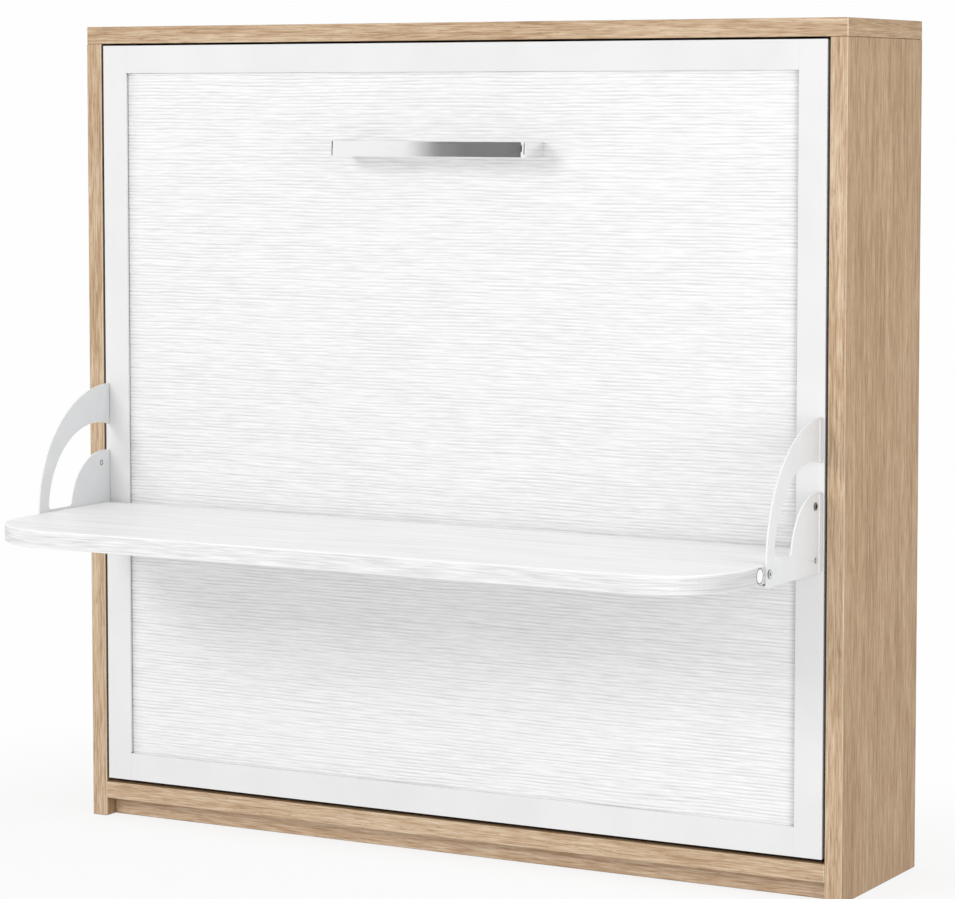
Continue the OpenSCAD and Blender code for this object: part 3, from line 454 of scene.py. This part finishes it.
# Mattress ticking, a knitted polyester double cloth: rows of small loops with a soft bloom. The
# loops are 1 mm in the real cloth and are drawn 4 mm wide, so that they show.
def knittedTicking(name):
    knit = {"loop": 4 * mm, "cloud": 120 * mm, "between": "#dedad0", "tone": "#f1eee6", "top": "#fbfaf6"}
    material, tree, shader, place = startMaterial(name, {
        "Roughness": 0.85, "Sheen Weight": 0.35, "Sheen Roughness": 0.5, "Specular IOR Level": 0.2})
    rows, columns = [addNode(tree, "TexWave", {
        "Vector": place, "Scale": spacing(knit["loop"]) / bandsPerScale, "Distortion": 0.6,
        "Detail": 1.0, "Detail Scale": 2.0}, bands_direction=way).outputs["Fac"] for way in "XZ"]
    loops = addNode(tree, "Math", {0: rows, 1: columns}, operation="MULTIPLY")
    cloud = addNode(tree, "TexNoise", {"Vector": place, "Scale": spacing(knit["cloud"]), "Detail": 2.0})
    tones = addNode(tree, "ValToRGB", {0: loops}, [
        (0.0, knit["between"]), (0.5, knit["tone"]), (1.0, knit["top"])])
    soft = addNode(tree, "ValToRGB", {0: cloud}, [(0.35, "#f8f6f2"), (0.65, "#ffffff")])
    colour = addNode(tree, "Mix", {0: 1.0, 6: tones, 7: soft}, **multiply)
    bump = addNode(tree, "Bump", {"Strength": 0.6, "Distance": 0.6 * mm, "Height": loops})
    connect(shader, {"Base Color": colour, "Normal": bump})
    return material


# Polyester webbing woven in a herringbone: 3 mm ribs across the strap, drawn at their real size.
def wovenWebbing(name):
    weave = {"rib": 3 * mm, "thread": 2 * mm, "between": "#25272a", "tone": "#3a3d42", "top": "#54585e"}
    material, tree, shader, place = startMaterial(name, {
        "Roughness": 0.75, "Sheen Weight": 0.25, "Sheen Roughness": 0.4, "Specular IOR Level": 0.3})
    ribs = addNode(tree, "TexWave", {
        "Vector": place, "Scale": spacing(weave["rib"]) / bandsPerScale, "Distortion": 1.2,
        "Detail": 1.0, "Detail Scale": 3.0}, bands_direction="DIAGONAL").outputs["Fac"]
    threads = addNode(tree, "TexWave", {
        "Vector": place, "Scale": spacing(weave["thread"]) / bandsPerScale,
    }, bands_direction="X").outputs["Fac"]
    cloth = addNode(tree, "Math", {0: ribs, 1: threads}, operation="MULTIPLY")
    tones = addNode(tree, "ValToRGB", {0: cloth}, [
        (0.0, weave["between"]), (0.5, weave["tone"]), (1.0, weave["top"])])
    bump = addNode(tree, "Bump", {"Strength": 0.7, "Distance": 0.4 * mm, "Height": cloth})
    connect(shader, {"Base Color": tones, "Normal": bump})
    return material


finishes = {
    "white_lacquer": sprayedMdf("satinSprayedMdf"),
    "white_embossed": embossedMdf("embossedFoilMdf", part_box("door_panel")[0].y),
    "desk_laminate": woodgrainLaminate("whiteWoodgrainLaminate"),
    "chrome": chromePlate("polishedChromePlate"),
    "rod_chrome": chromePlate("groundChromeRod", "#dfe0e1", haze=0.12),
    # the lighter edge tone on the brackets is a painted highlight
    "plate_paint": powderCoat("whitePowderCoatedSteel", "#dcddde", highlitEdgeTone="#f6f6f6"),
    "frame_paint": powderCoat("greyPowderCoatedTube", "#d3d6d8", peel=3 * mm, roughness=0.5),
    "strut_black": powderCoat("blackPaintedCylinder", "#26292c", peel=3 * mm, roughness=0.35),
    "zinc_steel": platedMetal("zincPlatedSteel", "#9ea3a8", 0.36),
    "screw_steel": platedMetal("brightZincScrew", "#c6c9cc", 0.26, blotch=8 * mm),
    "dark_steel": platedMetal("blackenedSteel", "#6b6f73", 0.42, blotch=8 * mm),
    "bearing_bronze": platedMetal("sinteredBronze", "#b39a5c", 0.38, blotch=6 * mm),
    "rubber": moulded("mouldedRubber", "#2f3133", 0.7, grain=2.2 * mm, depth=0.08 * mm, ior=1.52),
    "holder_plastic": moulded("mouldedPolyamide", "#46484b", 0.5, grain=2 * mm, depth=0.06 * mm, ior=1.53),
    "bush_nylon": moulded("turnedNylon", "#d6d1bd", 0.4, grain=2 * mm, depth=0.03 * mm, ior=1.53),
    "button_plastic": moulded("mouldedAbs", "#f0f0ef", 0.3, grain=1.6 * mm, depth=0.02 * mm, ior=1.54),
    "joint_strip": moulded("extrudedPvc", "#d8d2c6", 0.45, grain=2.5 * mm, depth=0.03 * mm, ior=1.53),
    "mattress_cloth": knittedTicking("knittedTicking"),
    "strap_webbing": wovenWebbing("wovenWebbing"),
}

# Boards and sticks of wood take the material whose grain runs their way, and some small parts have
# a finish of their own.
ownFinish = {
    "side_panel_left": decorOak("oakDecorUpright", "z"),
    "top_panel": decorOak("oakDecorTop", "x", "y"),
    "bottom_board": decorOak("oakDecorFloor", "x"),
    "plinth_front": decorOak("oakDecorPlinth", "x", tone="#c7ab8e"),
    "plinth_ribs": decorOak("oakDecorRib", "y", tone="#c7ab8e"),
    "back_panel_left": decorOak("oakFoilBackBoard", "z", tone="#cbb090"),
    "dowels": plainBeech("turnedBeech", "x"),
    "slats": plainBeech("sawnBeech", "z"),
    "ball_plungers": turnedFitting(
        "nickelPlungerBody", "ball_plungers",
        # painted shade: the dark middle stands for the shade in the hex socket, the dark rim for shade round
        # the edge
        [(0.0, "#3c3e40"), (0.50, "#4a4c4e"), (0.60, "#8d9092"), (0.85, "#a3a6a8"), (1.0, "#77797b")],
        # painted shade: a grey dot in the middle and dark beyond the light ring
        insideRings=[
            (0.0, "#8f9193"), (0.14, "#b5b7b8"), (0.22, "#e6e8e9"), (0.42, "#e9ebec"), (0.52, "#7a7c7e")]),
    "catch_keepers": turnedFitting(
        "nickelKeeperStud", "catch_keepers",
        # painted shade: the dark middle stands for the shade in the bore, the dark rim for shade round the
        # edge
        [(0.0, "#4e5052"), (0.28, "#5a5c5e"), (0.38, "#e3e5e6"), (0.78, "#e9ebec"), (1.0, "#6e7072")]),
    "latch_housings": platedMetal("dullZincRing", "#85898d", 0.45, blotch=8 * mm),
    "fold_pins": turnedFitting(
        "satinPinHead", "fold_pins",
        # the bright ring is a painted highlight; the grey middle and the dark rim are painted shade
        [(0.0, "#8a8c8e"), (0.22, "#b9bbbc"), (0.34, "#f2f3f3"), (0.76, "#f4f5f5"), (1.0, "#85878a")],
        roughness=0.55),
}
alike = {
    "side_panel_right": "side_panel_left", "plinth_rear": "plinth_front", "wall_rail": "plinth_front",
    "back_panel_right": "back_panel_left",
}
for name, part in nodes.items():
    packed = part.material_slots[0].material.name
    part.material_slots[0].material = ownFinish.get(alike.get(name, name)) or finishes[packed]
    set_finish(part, packed)
print("materials made,", len(finishes) + len(ownFinish))


# Boards have their edges broken, and cut or bent metal has no sharp corner.
softEdges = {
    2.2 * mm: ["side_panel_left", "side_panel_right", "top_panel", "bottom_board", "plinth_front",
               "plinth_rear", "plinth_ribs", "wall_rail"],
    0.6 * mm: ["door_stile_left", "door_stile_right", "door_rail_top", "door_rail_bottom", "handle",
               "slats", "slat_holders", "strut_lever_left", "strut_lever_right"],
    0.4 * mm: ["quadrant_left", "quadrant_right", "pivot_plates", "strut_brackets", "closing_stops"],
}
sharpFrom = 40           # degrees between two faces that make an edge


def softenEdges(part, width):
    weld = part.modifiers.new("weld", "WELD")
    weld.merge_threshold = 0.02 * mm
    bevel = part.modifiers.new("brokenEdge", "BEVEL")
    bevel.width = width
    bevel.segments = 2
    bevel.limit_method = "ANGLE"
    bevel.angle_limit = math.radians(sharpFrom)
    bevel.use_clamp_overlap = False
    bevel.harden_normals = True


for width, names in softEdges.items():
    for name in names:
        softenEdges(nodes[name], width)
print("edges softened")


relief = {
    "depth": 1.0 * mm,   # from a line's crest to its groove
    "pitch": 8.2 * mm,   # from line to line
    "groove": 0.15,      # half a groove's width, as a part of the pitch
    "lip": 0.16,         # how much higher the lower side of a groove stands
    "run": 90 * mm,      # how far a line keeps its strength
    "strength": 0.60, "strengthSway": 0.45, "weakest": 0.12, "strongest": 1.05,
    "sway": 0.32, "swayRun": 230 * mm, "swayAcross": 70 * mm,
    "jitter": 0.22, "jitterRun": 70 * mm, "jitterAcross": 15 * mm,
    "rows": 2300, "columns": 42,
    "seed": 7,
}


def smoothNoise(across, up, seed):
    # random heights on a lattice, eased between its points; across and up are in lattice steps
    across, up = across - across.min(), up - up.min()
    heights = np.random.default_rng(seed).uniform(-1, 1, (int(up.max()) + 2, int(across.max()) + 2))
    column, row = across.astype(int), up.astype(int)
    a, b = across - column, up - row
    a, b = a * a * (3 - 2 * a), b * b * (3 - 2 * b)
    low = heights[row, column] * (1 - a) + heights[row, column + 1] * a
    high = heights[row + 1, column] * (1 - a) + heights[row + 1, column + 1] * a
    return low * (1 - b) + high * b


def makePanel():
    low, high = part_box("door_panel")
    rows, columns, seed = relief["rows"], relief["columns"], relief["seed"]
    x, z = np.meshgrid(np.linspace(low.x, high.x, columns + 1), np.linspace(low.z, high.z, rows + 1))
    sway = smoothNoise(x / relief["swayRun"], z / relief["swayAcross"], seed) * relief["sway"]
    jitter = smoothNoise(x / relief["jitterRun"], z / relief["jitterAcross"], seed + 1) * relief["jitter"]
    line = (high.z - z) / relief["pitch"] + sway + jitter        # counts the lines from the top
    below = line - np.round(line)                                # how far below the nearest groove
    change = relief["strengthSway"] * smoothNoise(x / relief["run"], line, seed + 2)
    strength = np.clip(relief["strength"] + change, relief["weakest"], relief["strongest"])
    groove = np.exp(-(below / relief["groove"]) ** 2) * strength
    lip = relief["lip"] * np.sin(2 * math.pi * below) * strength
    height = 1 - groove + lip
    depth = (1 + relief["lip"] * 1.1 - height) * relief["depth"]     # so that no lip stands proud
    front = np.stack([x, low.y + depth, z], axis=-1).reshape(-1, 3)
    wide = columns + 1
    faces = [(r * wide + c, r * wide + c + 1, (r + 1) * wide + c + 1, (r + 1) * wide + c)
             for r in range(rows) for c in range(columns)]
    rim = list(range(wide))                                      # once round the front's outline
    rim += [r * wide + columns for r in range(1, rows + 1)]
    rim += [rows * wide + c for c in range(columns - 1, -1, -1)]
    rim += [r * wide for r in range(rows - 1, 0, -1)]
    base, count = len(front), len(rim)
    back = [(front[i][0], high.y, front[i][2]) for i in rim]
    for i in range(count):
        j = (i + 1) % count
        faces.append((rim[i], base + i, base + j, rim[j]))
    faces.append(tuple(base + i for i in range(count)))
    mesh = meshFrom("embossedPanel", np.vstack([front, np.array(back)]), faces)
    for face in mesh.polygons:
        if len(face.vertices) > 4 or abs(face.normal.y) < 0.5:   # the back and the four sides
            face.use_smooth = False
    piece = addPiece("embossed_panel", mesh, "bed", finishes["white_embossed"], "white_embossed")
    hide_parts("door_panel")


makePanel()
print("panel embossed")


mattress = {
    "step": 20 * mm,     # mesh spacing
    "corner": 60 * mm, "edge": 30 * mm,
    "inset": 2 * mm,     # the sewn cover before the filling swells it
    "rows": 8, "columns": 10,   # fields of the quilting
    "channel": 10 * mm,  # how deep the quilting is stitched in
    "swell": 12 * mm,    # the most that a field may rise
    "sideSwell": 3 * mm,
    "strapRoom": 4 * mm,        # how far beside a strap the cover stays down
    "tape": 4.5 * mm,    # radius of the taped seam round both faces
    "tapeSteps": 12,     # to each corner
    "pressure": 4.0, "frames": 20, "quality": 4,    # of the filling, and how it is worked out
    "mass": 0.3, "stretch": 14, "bend": 1.5,        # of the cover's cloth
}
tiny = 1e-9              # keeps a division off zero


def roundedShell(low, high, step, corner, edge):
    # a closed box of quads, with round corners in the plan and eased edges between face and side
    size = [high[i] - low[i] for i in range(3)]
    counts = [max(6, round(s / step)) for s in size]
    index, points, faces = {}, [], []

    def point(i, j, k):
        if (i, j, k) not in index:
            index[(i, j, k)] = len(points)
            points.append([low[n] + size[n] * (i, j, k)[n] / counts[n] for n in range(3)])
        return index[(i, j, k)]

    nx, ny, nz = counts
    for i in range(nx):
        for k in range(nz):
            faces.append((point(i, 0, k), point(i + 1, 0, k), point(i + 1, 0, k + 1), point(i, 0, k + 1)))
            faces.append((point(i, ny, k), point(i, ny, k + 1), point(i + 1, ny, k + 1), point(i + 1, ny, k)))
    for i in range(nx):
        for j in range(ny):
            faces.append((point(i, j, 0), point(i, j + 1, 0), point(i + 1, j + 1, 0), point(i + 1, j, 0)))
            faces.append((point(i, j, nz), point(i + 1, j, nz), point(i + 1, j + 1, nz), point(i, j + 1, nz)))
    for j in range(ny):
        for k in range(nz):
            faces.append((point(0, j, k), point(0, j, k + 1), point(0, j + 1, k + 1), point(0, j + 1, k)))
            faces.append((point(nx, j, k), point(nx, j + 1, k), point(nx, j + 1, k + 1), point(nx, j, k + 1)))
    p = np.array(points)
    centre = (np.array(low) + np.array(high)) / 2
    half = (np.array(high) - np.array(low)) / 2
    plan = p[:, [0, 2]] - centre[[0, 2]]
    planHalf = half[[0, 2]]
    inner = np.clip(plan, -(planHalf - corner), planHalf - corner)
    out = plan - inner
    reach = np.abs(out).max(axis=1)                     # 0 inside, corner at the outline
    way = out / np.maximum(np.linalg.norm(out, axis=1), tiny)[:, None]
    toSide = corner - reach
    toFace = half[1] - np.abs(p[:, 1] - centre[1])
    side, face = np.maximum(edge - toSide, 0), np.maximum(edge - toFace, 0)
    span = np.maximum(np.hypot(side, face), tiny)
    ease = np.where((side > 0) & (face > 0) & (span > edge), edge / span, 1.0)
    toSide = np.where(side > 0, edge - side * ease, toSide)
    toFace = np.where(face > 0, edge - face * ease, toFace)
    plan = inner + way * (corner - toSide)[:, None]
    p[:, [0, 2]] = plan + centre[[0, 2]]
    p[:, 1] = centre[1] + np.sign(p[:, 1] - centre[1]) * (half[1] - toFace)
    return p, faces


def swellCloth(piece, held):
    # a short cloth run: the filling presses outwards and the held points stay
    group = piece.vertex_groups.new(name="held")
    for i, weight in enumerate(held):
        if weight > 0:
            group.add([i], float(weight), "REPLACE")
    cloth = piece.modifiers.new("cloth", "CLOTH")
    settings = cloth.settings
    settings.quality = mattress["quality"]
    settings.mass = mattress["mass"]
    settings.tension_stiffness = settings.compression_stiffness = mattress["stretch"]
    settings.bending_stiffness = mattress["bend"]
    settings.use_pressure = True
    settings.uniform_pressure_force = mattress["pressure"]
    settings.vertex_group_mass = "held"
    settings.pin_stiffness = 1.0
    settings.effector_weights.gravity = 0
    cloth.point_cache.frame_start, cloth.point_cache.frame_end = 1, mattress["frames"]
    scene = bpy.context.scene
    for step in range(1, mattress["frames"] + 1):
        scene.frame_set(step)
    run = piece.evaluated_get(bpy.context.evaluated_depsgraph_get())
    swollen = np.array([v.co for v in run.data.vertices])
    piece.modifiers.remove(cloth)
    scene.frame_set(1)
    return swollen


def makeMattress():
    low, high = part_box("mattress")
    inset, edge = mattress["inset"], mattress["edge"]
    lowIn = (low.x + inset, low.y, low.z + inset)
    highIn = (high.x - inset, high.y - inset, high.z - inset)
    points, faces = roundedShell(lowIn, highIn, mattress["step"], mattress["corner"] - inset, edge - inset)
    x, y, z = points.T
    rear = highIn[1] - y < 1e-6                         # the side that is slept on
    stitched = np.zeros(len(points), bool)
    for places, first, last, fields in ((x, lowIn[0], highIn[0], mattress["columns"]),
                                        (z, lowIn[2], highIn[2], mattress["rows"])):
        field = (places - first) / (last - first) * fields
        offLine = np.abs(field - np.round(field)) * (last - first) / fields
        stitched |= rear & (offLine < 0.5 * mattress["step"] * 1.02)     # just over half a step
    strapLow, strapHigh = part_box("strap_right")
    strapMid, strapHalf = (strapLow.x + strapHigh.x) / 2, (strapHigh.x - strapLow.x) / 2
    underStrap = np.abs(np.abs(x) - strapMid) < strapHalf + mattress["strapRoom"]
    onSlats = y < lowIn[1] + edge                       # it lies flat on them
    held = np.where(onSlats | stitched | underStrap, 1.0, 0.0)
    points[stitched & ~underStrap, 1] -= mattress["channel"]
    mesh = meshFrom("mattress", points, faces)
    piece = addPiece("quilted_mattress", mesh, "bed", finishes["mattress_cloth"], "mattress_cloth")
    move = swellCloth(piece, held) - points
    most = np.where(rear, mattress["swell"], mattress["sideSwell"])
    length = np.maximum(np.linalg.norm(move, axis=1), tiny)
    move *= (np.minimum(length, most) / length)[:, None]
    move[held > 0.5] = 0
    points = points + move
    mesh.vertices.foreach_set("co", points.astype(np.float32).ravel())
    mesh.update()
    piece.vertex_groups.clear()
    finer = piece.modifiers.new("finer", "SUBSURF")
    finer.levels = finer.render_levels = 1
    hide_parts("mattress")
    makeTape(lowIn, highIn)


def makeTape(low, high):
    # the taped seam that closes the cover, once round each face
    corner, steps = mattress["corner"] - mattress["inset"], mattress["tapeSteps"]
    slope = (mattress["edge"] - mattress["inset"]) * (1 - math.sqrt(0.5))
    corners = ((high[0], low[2], -90), (high[0], high[2], 0), (low[0], high[2], 90), (low[0], low[2], 180))
    for name, y in (("front", low[1] + slope), ("rear", high[1] - slope)):
        curve = bpy.data.curves.new("tape", "CURVE")
        curve.dimensions = "3D"
        curve.bevel_depth = mattress["tape"]
        curve.bevel_resolution = 3
        places = []
        for x, z, start in corners:
            cx = x - math.copysign(corner, x)
            cz = z - corner if z > (low[2] + high[2]) / 2 else z + corner
            for i in range(steps + 1):
                a = math.radians(start + 90 * i / steps)
                places.append((cx + (corner - slope) * math.cos(a), y, cz + (corner - slope) * math.sin(a)))
        line = curve.splines.new("POLY")
        line.points.add(len(places) - 1)
        for point, place in zip(line.points, places):
            point.co = (*place, 1)
        line.use_cyclic_u = True
        addPiece("mattress_tape_" + name, curve, "bed", finishes["mattress_cloth"], "mattress_cloth")


makeMattress()
print("mattress swollen")


webbing = {"thick": 2 * mm, "rim": 0.6 * mm, "step": 12 * mm, "edge": 30 * mm, "gap": 0.5 * mm}


def makeStrap(side):
    node = "strap_" + side
    low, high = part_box(node)
    half = webbing["thick"] / 2
    radius = webbing["edge"] + webbing["gap"] + half
    rear, bottom, top = high.y - half, low.z + half, high.z - half

    def bend(z, first, last):
        # a quarter turn round one edge of the mattress, in steps of 10 degrees
        turns = [math.radians(a) for a in range(first, last + 1, 10)]
        return [(rear - radius + radius * math.cos(a), z + radius * math.sin(a)) for a in turns]

    steps = round((top - bottom - 2 * radius) / webbing["step"])
    route = [(low.y, bottom), *bend(bottom + radius, -90, 0)]
    route += [(rear, bottom + radius + i * webbing["step"]) for i in range(1, steps)]
    route += [*bend(top - radius, 0, 90), (low.y, top)]
    wide, rim = (high.x - low.x) / 2, webbing["rim"]
    middle = (low.x + high.x) / 2
    section = [(-wide, 0), (-wide + rim, -half), (0, -half), (wide - rim, -half), (wide, 0),
               (wide - rim, half), (0, half), (-wide + rim, half)]
    points, faces, length = [], [], 0.0
    for i, (y, z) in enumerate(route):
        before, after = route[max(i - 1, 0)], route[min(i + 1, len(route) - 1)]
        way = Vector((after[0] - before[0], after[1] - before[1])).normalized()
        if i:
            length += math.dist(route[i - 1], route[i])
        for x, out in section:
            points.append((middle + x, y + way.y * out, z - way.x * out))
    ring = len(section)
    for i in range(len(route) - 1):
        for j in range(ring):
            k = (j + 1) % ring
            faces.append((i * ring + j, i * ring + k, (i + 1) * ring + k, (i + 1) * ring + j))
    faces.append(tuple(range(ring)))
    faces.append(tuple(range(len(points) - 1, len(points) - ring - 1, -1)))
    mesh = meshFrom(node, points, faces)
    fixNormals(mesh)
    piece = addPiece("webbing_" + side, mesh, "bed", finishes["strap_webbing"], "strap_webbing")
    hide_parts(node)


for side in ("left", "right"):
    makeStrap(side)
print("straps laid")


# Both latch springs are one imported node. Each is shown as a piece of its own, with a mesh of its
# own.
def makeSpring(side, outward):
    packed = nodes["latch_springs"]
    work = bmesh.new()
    work.from_mesh(packed.data)
    other = [v for v in work.verts if v.co.x * outward < 0]
    bmesh.ops.delete(work, geom=other, context="VERTS")
    mesh = bpy.data.meshes.new("latchSpring")
    work.to_mesh(mesh)
    work.free()
    material = packed.material_slots[0].material
    piece = addPiece("latch_spring_" + side, mesh, "desk", material, packed["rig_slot"])
    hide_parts("latch_springs")
    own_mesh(piece)


makeSpring("left", -1)
makeSpring("right", 1)
print("springs made")


studio = {
    "paper": 0.99,       # what the camera sees behind the object
    "sky": 0.70,         # how that lights the object from above the horizon
    "ground": 0.88,      # and from the floor
    "shadowPart": 0.18,  # how much of the floor beside the object takes shadows
    "shadowReach": 1.1,
    "floorWhite": "#f6f6f6", "floorRadius": 60, "floorSides": 96,
    "floorDrop": 0.2 * mm,      # keeps the floor just under what stands on it
}


def paperOr(light, tree):
    # white to the camera and to mirrors, and dimmer as a light
    path = addNode(tree, "LightPath").outputs
    seen = addNode(tree, "Math", {0: path["Is Camera Ray"], 1: path["Is Glossy Ray"]}, operation="MAXIMUM")
    return addNode(tree, "MapRange", {0: seen, 3: light, 4: studio["paper"]})


def makeFloor():
    mesh = bpy.data.meshes.new("floor")
    work = bmesh.new()
    bmesh.ops.create_circle(work, cap_ends=True, radius=studio["floorRadius"], segments=studio["floorSides"])
    work.to_mesh(mesh)
    work.free()
    floor = addObject("floor", mesh)
    floor.location.z = -studio["floorDrop"]
    material, tree, shader, place = startMaterial("paperFloor", {
        "Base Color": studio["floorWhite"], "Roughness": 0.9, "Specular IOR Level": 0.1})
    size = addNode(tree, "VectorMath", {0: place}, operation="ABSOLUTE")
    past = addNode(tree, "VectorMath", {0: size, 1: tuple(cadBox[1])}, operation="SUBTRACT")
    outside = addNode(tree, "VectorMath", {0: past, 1: (0, 0, 0)}, operation="MAXIMUM")
    far = addNode(tree, "VectorMath", {0: outside}, operation="LENGTH")
    fade = addNode(tree, "MapRange", {0: far, 1: 0.0, 2: studio["shadowReach"], 3: 1 - studio["shadowPart"],
                                      4: 1.0}, interpolation_type="SMOOTHSTEP")
    glow = addNode(tree, "Emission", {"Color": "#ffffff", "Strength": paperOr(studio["ground"], tree)})
    mixed = addNode(tree, "MixShader", {0: fade, 1: shader, 2: glow})
    connect(tree.nodes["Material Output"], {"Surface": mixed})
    mesh.materials.append(material)


def makeWorld():
    world = bpy.data.worlds.new("paperRoom")
    bpy.context.scene.world = world
    world.use_nodes = True
    tree = world.node_tree
    connect(tree.nodes["Background"], {"Color": "#ffffff", "Strength": paperOr(studio["sky"], tree)})


softboxes = {
    "key": {"place": (-2.8, -6.2, 3.9), "aim": (0, 0, 0.8), "size": (2.6, 2.0), "power": 147},
    "sideFill": {"place": (4.0, -1.2, 1.8), "aim": (1.0, 0, 1.0), "size": (2.0, 2.5), "power": 48},
}


def makeSoftbox(name, box):
    light = bpy.data.lights.new(name, "AREA")
    light.shape = "RECTANGLE"
    light.size, light.size_y = box["size"]
    light.energy = box["power"]
    lamp = addObject(name, light)
    lamp.location = box["place"]
    lamp.rotation_euler = (Vector(box["aim"]) - Vector(box["place"])).to_track_quat("-Z", "Y").to_euler()
    lamp.visible_glossy = False


# Grey cards out of sight in front, which only the polished handle mirrors. Each stands on a line
# from start to end, and its tones are placed in metres along that line: barCard darkens the right
# half of the bar and ends in the dark line at its bend, bendCard draws the second line of the bend,
# and endCard the line at the left end.
cards = {
    "barCard": {
        "start": (-1.80, -3.0), "end": (0.15, -3.0), "low": 1.1, "high": 2.4,
        "tones": [(0.0, 0.99), (0.035, 0.93), (0.075, 0.66), (0.105, 0.44), (0.15, 0.205),
                  (0.25, 0.215), (0.46, 0.235), (0.50, 0.02)],
    },
    "bendCard": {
        "start": (2.60, -1.95), "end": (3.05, -1.05), "low": 0.6, "high": 2.9,
        "tones": [(0.0, 0.04), (0.9, 0.04)],
    },
    "endCard": {
        "start": (-4.0, -0.1), "end": (-4.0, -2.7), "low": 0.4, "high": 3.2,
        "tones": [(0.0, 0.04), (2.0, 0.05)],
    },
}


def makeCard(name, card):
    (x0, y0), (x1, y1) = card["start"], card["end"]
    wide = math.dist(card["start"], card["end"])
    corners = [(0, 0, card["low"]), (wide, 0, card["low"]), (wide, 0, card["high"]), (0, 0, card["high"])]
    mesh = meshFrom(name, corners, [(0, 1, 2, 3)], smooth=False)
    piece = addObject(name, mesh)
    piece.location = (x0, y0, 0)
    piece.rotation_euler.z = math.atan2(y1 - y0, x1 - x0)
    material, tree, _, place = startMaterial(name, {})
    along = addNode(tree, "SeparateXYZ", {0: place})
    part = addNode(tree, "Math", {0: along, 1: wide}, operation="DIVIDE")
    stops = [(at / wide, (tone, tone, tone, 1)) for at, tone in card["tones"]]
    tones = addNode(tree, "ValToRGB", {0: part}, stops)
    glow = addNode(tree, "Emission", {"Color": tones, "Strength": 1.0})
    connect(tree.nodes["Material Output"], {"Surface": glow})
    mesh.materials.append(material)
    piece.visible_camera = piece.visible_diffuse = piece.visible_shadow = False
    piece.visible_transmission = piece.visible_volume_scatter = False


makeFloor()
makeWorld()
for name, card in cards.items():
    makeCard(name, card)
for name, box in softboxes.items():
    makeSoftbox(name, box)
print("studio lit")
